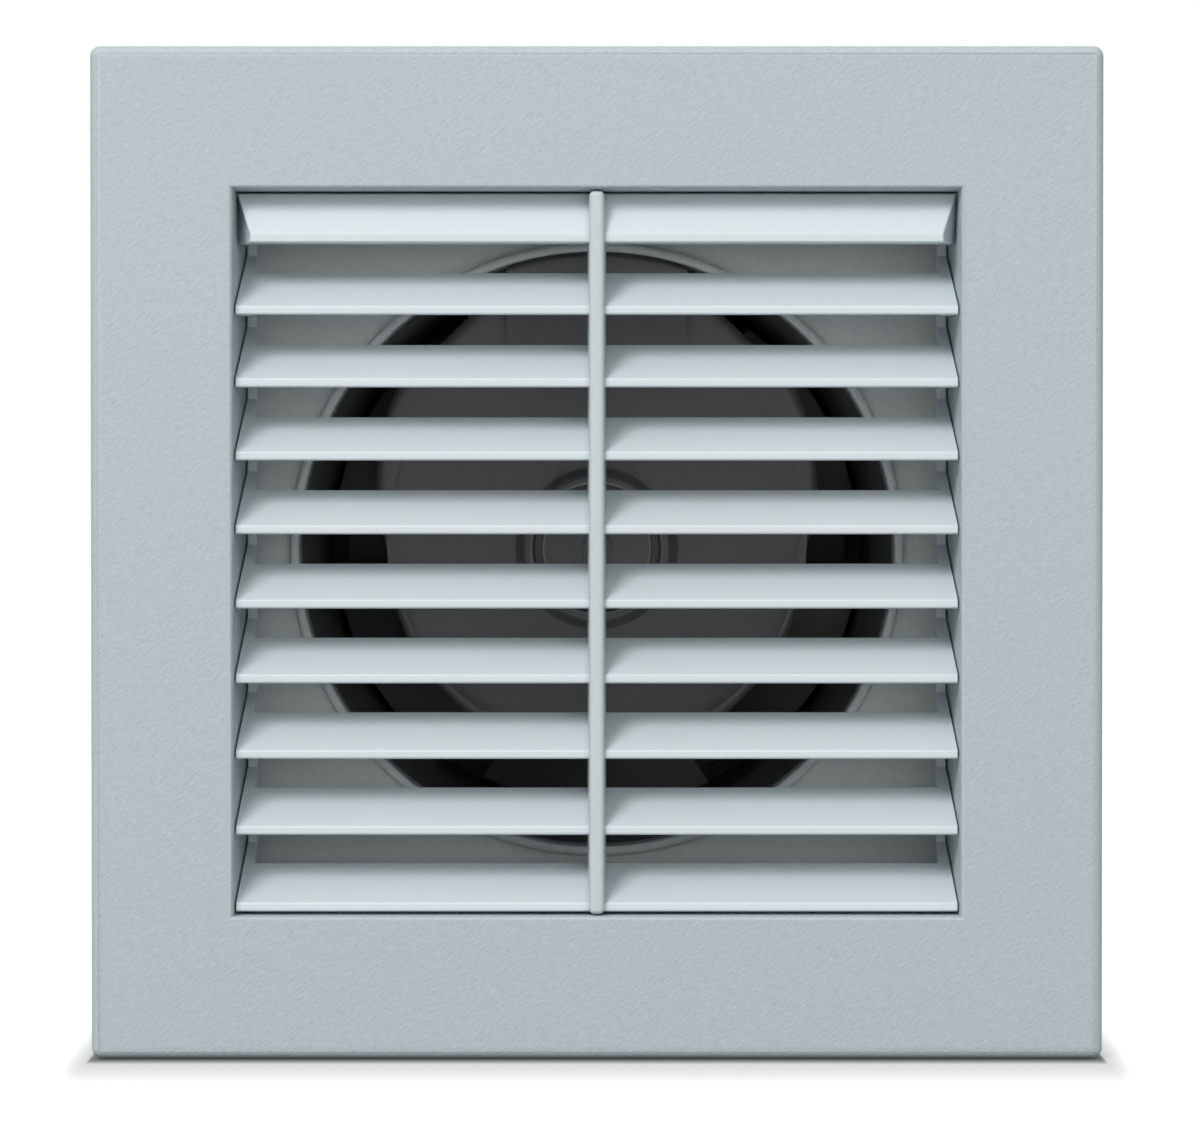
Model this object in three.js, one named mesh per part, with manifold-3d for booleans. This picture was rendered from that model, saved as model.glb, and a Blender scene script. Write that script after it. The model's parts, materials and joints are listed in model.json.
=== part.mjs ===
// Window exhaust fan for a 100 mm duct: a square louvred cover over a flanged body, and behind the body a
// round duct that holds a motor pod, an axial impeller and a pair of backdraught flaps.
// Millimetres. The origin is on the fan axis, in the plane of the panel that the body is screwed to:
// -Y faces the room, +Y runs through the panel to the outside and +Z is up.
import * as THREE from "three";
import { mergeVertices } from "three/addons/utils/BufferGeometryUtils.js";
import Module from "manifold-3d";

// ---------------------------------------------------------------- sizes
const seat = 0.3; // clearance between pieces that rest on each other
const bite = 0.5; // how far joined shapes of one moulding run into each other

// Cover: square front frame with a skirt that slides over the body
const mouthMargin = 32.5; // duct's mouth to the cover's edge
const coverDepth = 40; // front face to the skirt's rear edge
const coverWall = 2.2;
const coverCorner = 1.6; // plan radius of the four corners
const coverEdge = 1.2; // roll of the front edge
const panelGap = 1; // skirt's rear edge to the panel
const frameBorder = 23.15; // cover's edge to the opening
const openingDepth = 25; // front face to the rear edge of the opening's walls
const openingDraft = 1.2; // how far each of those walls leans inwards
const openingWall = 2;
const openingLip = 0.6; // roll of the opening's edge
const openingCorner = 1.2;
const coverRibOffset = 38; // stiffening ribs, from the middle of each side
const coverRibThickness = 1.6;
const coverRibDepth = 9;

// Louvre insert: fixed slats between two saw-toothed end plates, with a rib down the middle
const slatCount = 10;
const slatDepth = 12;
const slatRise = 6.85; // bottom of the nose to the rear edge
const slatNose = 1.15;
const slatThickness = 1.3;
const slatRoll = 0.45; // roll of the nose
const headerHeight = 8.5; // opening's top to the first slat's nose
const footGap = 0.95; // last slat's nose to the opening's bottom
const louvreRecess = 2.2; // cover's face to the noses
const louvreSideGap = 0.7;
const louvreDraft = 0.9; // how far the end plates lean inwards
const toothDepth = 18.5; // noses to the root of the saw teeth
const endPlateThickness = 1;
const endPlateStrip = 3; // solid strip behind the teeth
const headerDepth = 8; // first slat: a wedge up to the opening's ceiling, wider at its back
const headerInset = 1.5; // each end of its nose, from the other slats' ends
const headerWall = 1.3;
const barFrontWidth = 2.4;
const barRearWidth = 3.1;
const barDepth = 14;
const barProud = 1.4; // how far the bar stands in front of the noses
const snapWidth = 9;
const snapOffset = 31; // snap tongues above and below the middle
const snapHook = 1.1;
const snapThickness = 1;

// Body: square tray whose floor carries the mouth of the duct
const coverFit = 0.5; // skirt to rim
const rimDepth = 15;
const rimWall = 2;
const floorSetback = 9.5; // panel to the floor's front face
const floorThickness = 3;
const mouthTaper = 3; // how far the mouth narrows to the throat
const lipWidth = 1.6;
const lipHeight = 1.2;
const fixingInset = 14.5; // cover's edge to the four holes for the wall screws
const fixingHoleRadius = 2.3;
const padSide = 16;
const cableHoleRadius = 5.5;

// Cover fixings
const hookOffset = 45; // the two hooks at the top, from the middle
const hookWidth = 10;
const hookHeight = 1.1;
const hookThickness = 2;
const hookSetback = 8; // panel to the hooks
const coverScrewRadius = 1.75;
const coverScrewHeadRadius = 3.2;
const coverScrewHeadHeight = 1.6; // countersunk into the skirt's bottom wall
const coverScrewLength = 9;
const coverScrewSetback = 7; // panel to the screw's axis
const coverBossRadius = 4.2;
const coverBossLength = 7;
const screwSkin = 0.7; // plastic left over the end of a blind screw hole

// Duct housing: flange, tapered mouth, straight throat and spigot in one moulding
const flangeThickness = 2.5;
const flangeWidth = 9.5; // mouth to the flange's edge
const flangeScrewInset = 3.9; // flange's edge to its screws
const flangeScrewRadius = 1.5;
const flangeScrewHeadRadius = 2.8;
const flangeScrewHeadHeight = 1.7;
const throatRadius = 47;
const throatStart = 12; // panel to the end of the taper
const ductWall = 2;
const ductEnd = 66; // panel to the spigot's end
const ductChamfer = 1;
const ledgeWidth = 2.6; // ring that the closed flaps rest against
const ledgeThickness = 1.8;

// Motor pod
const podFront = -2; // its front face, against the panel
const podSplit = 12; // where the cover meets the carrier
const podBack = 27;
const podRadius = 35.6; // round lower half
const podHalfWidth = 37.9;
const podWall = 2;
const podEdge = 1.6; // roll of the front edge
const shoulderX = 33.8; // where the side turns in to the shoulder
const shoulderZ = 27.4;
const neckX = 21.2; // where the shoulder turns up into the arm
const neckZ = 39.8;
const podSideLow = 6; // the sides bulge out between these heights
const podSideHigh = 17;
const podSideBulge = 1;
const neckRise = 4; // curve from the neck into the arm's sides
const neckFlare = 1;
const armHalfWidth = 15.7;
const armProud = 5.5; // arm's front above the tray floor
const armTopGap = 0.4; // arm's upper end to the terminal block
const armShoulder = 2; // bevel where the climbing arm levels out
const armRise = 7.3; // arm's foot to the duct's wall
const armFoot = 6; // flat at the arm's foot, down into the dish
const dishCentre = 2.4; // middle of the dished face, above the fan axis
const dishRadius = 34;
const dishDepth = 1.5;
const hubRingRadius = 11.9;
const hubRingWidth = 1.7;
const hubDiscRadius = 9.3;
const hubRingHeight = 1.6; // above the bottom of the dish
const hubRingFoot = 1.2; // slope round the outside of the ring
const hubDiscHeight = 1;
const hubDiscCrown = 0.3;
const hubPipRadius = 2.4;
const hubPipHeight = 0.35;

// Motor: shaded-pole, with the winding on the top leg of the core
const coreFront = 6.5;
const coreThickness = 11;
const coreHalfWidth = 22;
const coreBottom = -18.5;
const coreTop = 33;
const coreChamfer = 4;
const rotorRadius = 12.5;
const rotorGap = 0.5;
const legHeight = 8; // top leg that carries the winding
const windowHalfWidth = 14.5;
const windowBottom = 16.5;
const bobbinWall = 1;
const bobbinHalfLength = 13.5;
const windingThickness = 2.6;
const shaftRadius = 2;
const shaftEnd = 53;
const bearingRadius = 4.5;
const bearingLength = 4.4;
const bearingClearance = 0.3;
const bracketThickness = 2;
const bracketWidth = 14;
const bracketInset = 0.5; // from the core's sides
const bracketBossRadius = 6.6;
const motorScrewInset = 4.4; // from the core's sides
const motorScrewRadius = 1.5;
const motorScrewHeadRadius = 2.6;
const motorScrewHeadHeight = 1.4;
const motorBossRadius = 3.6;
const motorBossSkin = 1.2; // plastic left over the end of its screw hole

// Impeller
const impellerFront = 29.5;
const hubRadius = 15;
const hubWall = 1.8;
const hubDepth = 19;
const hubBossRadius = 5;
const hubEdge = 1.2; // chamfer of the hub's front edge
const hubWebThickness = 1.2;
const hubWebSetback = 2; // webs below the hub's rear edge
const bladeCount = 6;
const bladeTipGap = 0.9;
const bladeRootSweep = 40; // degrees of arc that a blade covers at the hub
const bladeTipSweep = 51;
const bladeRootDepth = 15; // along the axis
const bladeTipDepth = 11;
const bladeCamber = 1.6;
const bladeThickness = 1.3;
const nutRadius = 5;
const nutHeight = 3.6;
const nutChamfer = 0.8;
const nutFlutes = 6;
const nutFluteRadius = 1.1;
const nutFluteDepth = 0.5;

// Backdraught flaps: two half discs on one upright pin
const flapPlane = 58.6;
const flapThickness = 1;
const flapTipGap = 0.8;
const flapPinRadius = 1.1;
const knuckleRadius = 2.3;
const knuckleClearance = 0.35;
const knuckleLength = 20;
const knuckleRows = 4;
const flapRibRadius = 28.6; // curved rib on the back of each flap
const flapRibWidth = 1.2;
const flapRibHeight = 1;
const flapSwing = 75; // degrees from closed to open

// Wiring
const terminalWidth = 34;
const terminalHeight = 11;
const terminalDepth = 13;
const terminalPoles = 3;
const terminalPitch = 9.4;
const terminalWell = 5; // depth of the screws' wells
const terminalWireRadius = 1.6;
const terminalWireSetback = 4; // wire holes above the tray floor
const terminalSlotWidth = 1.2; // slots between the poles
const terminalSlotDepth = 4;
const terminalHeadroom = 3.9; // block's upper edge to the tray's rim
const terminalLidWall = 1.4;
const terminalLidGap = 1;
const terminalScrewRadius = 1.2;
const terminalScrewHeadRadius = 2.2;
const terminalScrewHeadHeight = 1.2;
const terminalScrewLength = 1.3;
const lidLugWidth = 8;
const lidLugThickness = 2;
const lidLugHeight = 8;
const lidWireDepth = 5; // gap in the lid's side for the supply wires
const lidWireHeight = 6;
const smallScrewRadius = 1.25; // the lid's and the cable clamp's screws
const smallScrewHeadRadius = 2.3;
const smallScrewHeadHeight = 1.2;
const clampInset = 5.6; // terminal lid's lug to the middle of the clamp
const cableHoleInset = 9; // middle of the clamp to the cable hole
const clampWidth = 7;
const clampThickness = 2.6;
const clampGap = 4.5; // between the clamp and the floor
const clampScrewSpan = 9.6;
const clampEnd = 1.9; // screws to the clamp's ends
const clampPostRadius = 2.2;
const clampSaddleRadius = 2.4;
const clampSaddleDepth = 1.5;
const grommetFlangeRadius = 7.4;
const grommetWall = 1.5;
const grommetFlange = 1.3;

// Gasket: foam ring between the tray and the panel
const gasketGap = 2.5; // flange's edge to the gasket
const gasketWidth = 8;
const trayRibOffset = 21; // stiffening ribs on the tray's back, from the middle of each side
const trayRibThickness = 1.6;

// ---------------------------------------------------------------- worked-out places
const mouthRadius = throatRadius + mouthTaper;
const half = mouthRadius + mouthMargin; // of the square cover
const coverFront = -(coverDepth + panelGap);
const openingHalf = half - frameBorder;
const openingRear = coverFront + openingDepth;
const skirtInner = half - coverWall;
const rimOuter = skirtInner - coverFit;
const floorFront = -floorSetback;
const floorRear = floorFront + floorThickness;
const flangeFront = floorRear + seat;
const flangeRear = flangeFront + flangeThickness;
const noseFront = coverFront + louvreRecess;
const louvreHalf = openingHalf - louvreSideGap;
const slatPitch = (2 * openingHalf - headerHeight - footGap) / (slatCount - 1);
const slatSlope = (slatRise - slatNose) / slatDepth;
const slatZ = (k) => openingHalf - headerHeight - k * slatPitch;
const headerBack = noseFront + headerDepth;
const bladeTip = throatRadius - bladeTipGap;
const flapRadius = throatRadius - flapTipGap;
const flapRibStart = (flapThickness / 2 + flapRibHeight + seat) * Math.tan((flapSwing * Math.PI) / 180);
const ledgeInnerRadius = throatRadius - ledgeWidth;
const flangeRadius = mouthRadius + flangeWidth;
const flangeScrewCircle = flangeRadius - flangeScrewInset;
const gasketInner = flangeRadius + gasketGap;
const motorScrewX = coreHalfWidth - motorScrewInset;
const coreBack = coreFront + coreThickness;
const floorOfCarrier = podBack - podWall;
const podInnerFace = podFront + dishDepth + podWall;
const podInside = (podRadius - podWall) / podRadius; // scale that draws the pod's outline at its inner face
const flangeScrewPlaces = [0.25, 0.75, 1.25, 1.75].map((halfTurns) => [
  flangeScrewCircle * Math.cos(halfTurns * Math.PI),
  flangeScrewCircle * Math.sin(halfTurns * Math.PI),
]);
const hookZ = rimOuter - rimWall;
const fixing = half - fixingInset;
const terminalTop = rimOuter - rimWall - terminalHeadroom;
const terminalFoot = terminalTop - terminalHeight;
const terminalMiddle = terminalTop - terminalHeight / 2;
const armTop = terminalFoot - armTopGap;
const lidHalfWidth = terminalWidth / 2 + terminalLidGap + terminalLidWall;
const clampX = -(lidHalfWidth + lidLugWidth + clampInset);
const cableHoleX = clampX - cableHoleInset;
const lidScrews = [-1, 1].map((side) => [side * (lidHalfWidth + lidLugWidth / 2), terminalMiddle]);
const clampScrewsZ = [-1, 1].map((side) => terminalMiddle + (side * clampScrewSpan) / 2);
const clampLength = clampScrewSpan + 2 * clampEnd;
const sharp = 0.01; // corner radius of a ring that stays square

// ---------------------------------------------------------------- shapes
const wasm = await Module();
wasm.setup();

// A closed three.js geometry as a solid that can be joined and cut.
function solid(geometry) {
  const bare = geometry.index ? geometry.toNonIndexed() : geometry.clone();
  bare.deleteAttribute("normal");
  bare.deleteAttribute("uv");
  const merged = mergeVertices(bare);
  const vertProperties = merged.attributes.position.array;
  const triVerts = new Uint32Array(merged.index.array);
  return new wasm.Manifold(new wasm.Mesh({ numProp: 3, vertProperties, triVerts }));
}

const joined = (first, ...others) => others.reduce((sum, other) => sum.add(other), first);
const cut = (first, ...others) => others.reduce((rest, other) => rest.subtract(other), first);

// A box between two corners.
function block(low, high) {
  const size = low.map((v, i) => high[i] - v);
  const middle = low.map((v, i) => (high[i] + v) / 2);
  return solid(new THREE.BoxGeometry(...size).translate(...middle));
}

// A round bar from one point to another. An end radius of its own makes it a cone.
function rod(radius, from, to, sides = 16, endRadius = radius) {
  const start = new THREE.Vector3(...from);
  const along = new THREE.Vector3(...to).sub(start);
  const geometry = new THREE.CylinderGeometry(endRadius, radius, along.length(), sides);
  const turn = new THREE.Quaternion().setFromUnitVectors(
    new THREE.Vector3(0, 1, 0),
    along.clone().normalize(),
  );
  const middle = start.addScaledVector(along, 0.5);
  return solid(geometry.applyQuaternion(turn).translate(middle.x, middle.y, middle.z));
}

// A closed profile of [radius, y] points turned about the fan axis.
function turned(profile, sides = 48) {
  const points = profile.map(([r, y]) => new THREE.Vector2(r, y));
  if (THREE.ShapeUtils.area(points) < 0) points.reverse();
  return solid(new THREE.LatheGeometry([...points, points[0]], sides));
}

const ring = (inner, outer, front, back, sides) =>
  turned([[inner, front], [outer, front], [outer, back], [inner, back]], sides);

// An outline in x and z, as seen from the room, as a plate between two values of y.
function plate(outline, front, back, curveSegments = 10) {
  const depth = back - front;
  const geometry = new THREE.ExtrudeGeometry(outline, { depth, bevelEnabled: false, curveSegments });
  return solid(geometry.rotateX(Math.PI / 2).translate(0, back, 0));
}

// A section of [y, z] points as a bar between two values of x.
function profileBar(points, from, to) {
  const outline = new THREE.Shape(points.map(([y, z]) => new THREE.Vector2(y, z)));
  const geometry = new THREE.ExtrudeGeometry(outline, { depth: to - from, bevelEnabled: false });
  const axes = new THREE.Matrix4().makeBasis(
    new THREE.Vector3(0, 1, 0),
    new THREE.Vector3(0, 0, 1),
    new THREE.Vector3(1, 0, 0),
  );
  return solid(geometry.applyMatrix4(axes).translate(from, 0, 0));
}

// A solid through closed rings of points, each ring convex and flat, one after another along +Y.
function loft(rings) {
  const count = rings[0].length;
  const positions = rings.flat(2);
  const index = [];
  for (let i = 0; i + 1 < rings.length; i++)
    for (let j = 0; j < count; j++) {
      const [a, b] = [i * count + j, i * count + ((j + 1) % count)];
      index.push(a, b, b + count, a, b + count, a + count);
    }
  const last = (rings.length - 1) * count;
  for (let j = 1; j + 1 < count; j++) {
    index.push(0, j + 1, j);
    index.push(last, last + j, last + j + 1);
  }
  const geometry = new THREE.BufferGeometry();
  geometry.setAttribute("position", new THREE.Float32BufferAttribute(positions, 3));
  geometry.setIndex(index);
  return solid(geometry);
}

// A square ring of points with rounded corners, centred on the fan axis. halfHeight makes it oblong.
function squareRing(halfSide, corner, y, steps = 4, halfHeight = halfSide) {
  const points = [];
  for (let side = 0; side < 4; side++)
    for (let i = 0; i <= steps; i++) {
      const angle = ((side + i / steps) * Math.PI) / 2;
      const [sx, sz] = [[1, 1], [-1, 1], [-1, -1], [1, -1]][side];
      const [x, z] = [sx * (halfSide - corner), sz * (halfHeight - corner)];
      points.push([x + corner * Math.cos(angle), y, z + corner * Math.sin(angle)]);
    }
  return points.reverse();
}

// A sheet of even thickness across y, given by its middle surface: at(s, t) for s and t from 0 to 1.
function sheet(at, rows, columns, thickness) {
  const positions = [];
  for (const side of [-0.5, 0.5])
    for (let i = 0; i <= rows; i++)
      for (let j = 0; j <= columns; j++) {
        const [x, y, z] = at(i / rows, j / columns);
        positions.push(x, y + side * thickness, z);
      }
  const layer = (rows + 1) * (columns + 1);
  const front = (i, j) => i * (columns + 1) + j;
  const index = [];
  const quad = (a, b, c, d) => index.push(a, b, c, a, c, d);
  for (let i = 0; i < rows; i++)
    for (let j = 0; j < columns; j++) {
      const corners = [front(i, j), front(i, j + 1), front(i + 1, j + 1), front(i + 1, j)];
      quad(...corners);
      quad(...corners.map((v) => v + layer).reverse());
    }
  const edge = (a, b) => quad(a, b, b + layer, a + layer);
  for (let i = 0; i < rows; i++) {
    edge(front(i, 0), front(i + 1, 0));
    edge(front(i + 1, columns), front(i, columns));
  }
  for (let j = 0; j < columns; j++) {
    edge(front(0, j + 1), front(0, j));
    edge(front(rows, j), front(rows, j + 1));
  }
  const geometry = new THREE.BufferGeometry();
  geometry.setAttribute("position", new THREE.Float32BufferAttribute(positions, 3));
  geometry.setIndex(index);
  return solid(geometry);
}

const disc = (radius) => new THREE.Shape().absarc(0, 0, radius, 0, 2 * Math.PI);

// ---------------------------------------------------------------- materials
const finish = (color, roughness, metalness = 0) =>
  new THREE.MeshStandardMaterial({ color, roughness, metalness });
const finishes = {
  frame_plastic: finish(0xb9c5c9, 0.55),
  louvre_plastic: finish(0xd3dade, 0.4),
  body_plastic: finish(0xb4c0c4, 0.6),
  fan_plastic: finish(0x45484a, 0.5),
  flap_plastic: finish(0x303335, 0.5),
  core_steel: finish(0x8d9096, 0.45, 0.9),
  bracket_steel: finish(0xb9bcc0, 0.35, 0.9),
  shaft_steel: finish(0xc8cacc, 0.25, 1),
  bronze: finish(0xb08a4e, 0.45, 0.9),
  copper: finish(0xa8572c, 0.4, 0.8),
  bobbin_plastic: finish(0xe8e4d8, 0.5),
  screw_zinc: finish(0xc2c4c0, 0.35, 1),
  terminal_plastic: finish(0xe6e6e2, 0.45),
  black_rubber: finish(0x222324, 0.85),
  grey_foam: finish(0x55585a, 0.95),
};

const fan = new THREE.Group();
fan.name = "window_exhaust_fan";

// Adds a solid to the fan as one named piece.
function piece(name, body, material) {
  const made = body.getMesh();
  const geometry = new THREE.BufferGeometry();
  geometry.setAttribute("position", new THREE.BufferAttribute(made.vertProperties, 3));
  geometry.setIndex(new THREE.BufferAttribute(made.triVerts, 1));
  geometry.computeVertexNormals();
  const mesh = new THREE.Mesh(geometry, finishes[material]);
  mesh.name = name;
  fan.add(mesh);
}

// ---------------------------------------------------------------- cover
// The frame's outside has a rolled front edge; its opening is lined by four leaning walls.
function frontFrame() {
  const rollSteps = 4;
  const outside = [];
  for (let i = 0; i <= rollSteps; i++) {
    const angle = (i / rollSteps) * (Math.PI / 2);
    const inset = coverEdge * (1 - Math.sin(angle));
    outside.push(squareRing(half - inset, coverCorner, coverFront + coverEdge * (1 - Math.cos(angle))));
  }
  outside.push(squareRing(half, coverCorner, -panelGap));
  const cavityFront = coverFront + coverWall;
  const cavity = loft([
    squareRing(skirtInner, coverCorner, cavityFront),
    squareRing(skirtInner, coverCorner, 0),
  ]);
  const lining = loft([
    squareRing(openingHalf + openingWall, openingCorner, cavityFront - bite),
    squareRing(openingHalf - openingDraft + openingWall, openingCorner, openingRear),
  ]);
  const opening = [];
  for (let i = 0; i <= rollSteps; i++) {
    const angle = (i / rollSteps) * (Math.PI / 2);
    const flare = openingLip * (1 - Math.sin(angle));
    const back = openingLip * (1 - Math.cos(angle));
    opening.push(squareRing(openingHalf + flare, openingCorner, coverFront + back));
  }
  opening.push(squareRing(openingHalf - openingDraft, openingCorner, openingRear));
  opening.push(squareRing(openingHalf - openingDraft, openingCorner, 0));
  let frame = joined(cut(loft(outside), cavity), lining.intersect(loft(outside)));
  for (const side of [-1, 1])
    for (const turn of [0, 1]) {
      for (const offset of [-coverRibOffset, coverRibOffset]) {
        const across = [offset - coverRibThickness / 2, offset + coverRibThickness / 2];
        const along = [openingHalf + openingWall - bite, skirtInner + bite].map((v) => v * side);
        along.sort((a, b) => a - b);
        const [x, z] = turn ? [along, across] : [across, along];
        frame = frame.add(
          block([x[0], cavityFront - bite, z[0]], [x[1], cavityFront + coverRibDepth, z[1]]),
        );
      }
    }
  for (const x of [-hookOffset, hookOffset])
    frame = frame.add(
      block(
        [x - hookWidth / 2, -hookSetback - hookThickness / 2, skirtInner - hookHeight],
        [x + hookWidth / 2, -hookSetback + hookThickness / 2, skirtInner + bite],
      ),
    );
  const screwHole = rod(
    coverScrewRadius + seat,
    [0, -coverScrewSetback, -half],
    [0, -coverScrewSetback, -skirtInner + 1],
  );
  const countersink = rod(
    coverScrewHeadRadius + 2 * seat,
    [0, -coverScrewSetback, -half - seat],
    [0, -coverScrewSetback, -half + coverScrewHeadHeight],
    16,
    coverScrewRadius + seat,
  );
  return cut(frame, loft(opening), screwHole, countersink);
}
piece("front_frame", frontFrame(), "frame_plastic");

// The rolled top of a slat's nose, as [y, z] points.
function noseRoll(z) {
  const points = [];
  const steps = 3;
  for (let i = 0; i <= steps; i++) {
    const angle = (i / steps) * (Math.PI / 2);
    points.push([
      noseFront + slatRoll * (1 - Math.cos(angle)),
      z + slatNose - slatRoll + slatRoll * Math.sin(angle),
    ]);
  }
  return points;
}

// One slat's section, from its nose at the front up to its rear edge.
function slatSection(z) {
  const rear = noseFront + slatDepth;
  return [
    ...noseRoll(z),
    [rear, z + slatRise],
    [rear, z + slatRise - slatThickness],
    [noseFront + slatThickness, z],
    [noseFront + slatRoll, z],
    [noseFront, z + slatRoll],
  ];
}

// The end plate's outline: a tooth to a slat, with its tip standing above the slat's rear edge. It starts at
// the back of the first slat.
function toothedPlate() {
  const root = noseFront + toothDepth;
  const points = [];
  for (let k = 0; k < slatCount; k++) {
    if (k === 0) {
      points.push([headerBack - headerWall, openingHalf - seat], [headerBack - headerWall, slatZ(0)]);
      continue;
    }
    const tip = Math.min(slatZ(k) + slatNose + slatSlope * toothDepth, slatZ(k - 1) - seat);
    points.push([root, slatZ(k - 1)], [root, tip], [noseFront + slatRoll, slatZ(k) + slatNose / 2]);
    points.push([noseFront + slatRoll, slatZ(k)]);
  }
  points.push([root + endPlateStrip, slatZ(slatCount - 1)], [root + endPlateStrip, openingHalf - seat]);
  return points;
}

// Half the opening between its leaning walls at a depth y, less the clearance.
const wallHalf = (y) => openingHalf - (openingDraft * (y - coverFront)) / openingDepth - seat;

// The first slat: a wedge from its nose up to the opening's ceiling, cored out from behind.
function headerSlat() {
  const foot = slatZ(0);
  const top = wallHalf(headerBack);
  const noseHalf = louvreHalf - headerInset;
  const slope = (top - foot - slatNose) / (headerDepth - slatRoll);
  const under = [[headerBack, foot], [noseFront + slatRoll, foot], [noseFront, foot + slatRoll]];
  const wedge = profileBar([...noseRoll(foot), [headerBack, top], ...under], -half, half);
  const [coreFoot, coreNose, coreRear] = [foot + headerWall, noseFront + 2 * headerWall, headerBack + 1];
  const core = profileBar(
    [[coreNose, coreFoot], [coreRear, coreFoot + slope * (coreRear - coreNose)], [coreRear, coreFoot]],
    -noseHalf + headerWall,
    noseHalf - headerWall,
  );
  const ends = loft([
    squareRing(noseHalf, sharp, noseFront, 1, half),
    squareRing(top, sharp, headerBack, 1, half),
  ]);
  return cut(wedge.intersect(ends), core);
}

function louvreGrille() {
  const rear = noseFront + toothDepth + endPlateStrip;
  const inner = louvreHalf - louvreDraft - endPlateThickness;
  let louvre = profileBar(slatSection(slatZ(1)), -louvreHalf, louvreHalf);
  for (let k = 2; k < slatCount; k++)
    louvre = louvre.add(profileBar(slatSection(slatZ(k)), -louvreHalf, louvreHalf));
  for (const [from, to] of [[-louvreHalf, -inner], [inner, louvreHalf]])
    louvre = louvre.add(profileBar(toothedPlate(), from, to));
  // The ends lean inwards towards the back, and the top follows the opening's ceiling.
  const envelope = loft([
    squareRing(louvreHalf, sharp, noseFront - 1, 1, wallHalf(noseFront - 1)),
    squareRing(louvreHalf - louvreDraft, sharp, rear + 1, 1, wallHalf(rear + 1)),
  ]);
  louvre = louvre.intersect(envelope).add(headerSlat());
  const barFront = noseFront - barProud;
  const bar = loft([
    squareRing(barFrontWidth / 2, sharp, barFront, 1, wallHalf(barFront)),
    squareRing(barRearWidth / 2, sharp, barFront + barDepth, 1, wallHalf(barFront + barDepth)),
  ]);
  louvre = louvre.add(bar);
  // Tongues run back along the opening's side walls and hook behind their rear edge.
  const wallRear = openingHalf - openingDraft;
  for (const side of [-1, 1])
    for (const z of [-snapOffset, snapOffset]) {
      const reach = (a, b) => [Math.min(side * a, side * b), Math.max(side * a, side * b)];
      const [t0, t1] = reach(inner, inner + endPlateThickness);
      const [h0, h1] = reach(inner, wallRear + snapHook);
      const [low, high] = [z - snapWidth / 2, z + snapWidth / 2];
      louvre = joined(
        louvre,
        block([t0, rear - bite, low], [t1, openingRear + seat + bite, high]),
        block([h0, openingRear + seat, low], [h1, openingRear + seat + snapThickness, high]),
      );
    }
  return louvre;
}
piece("louvre_grille", louvreGrille(), "louvre_plastic");

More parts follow.
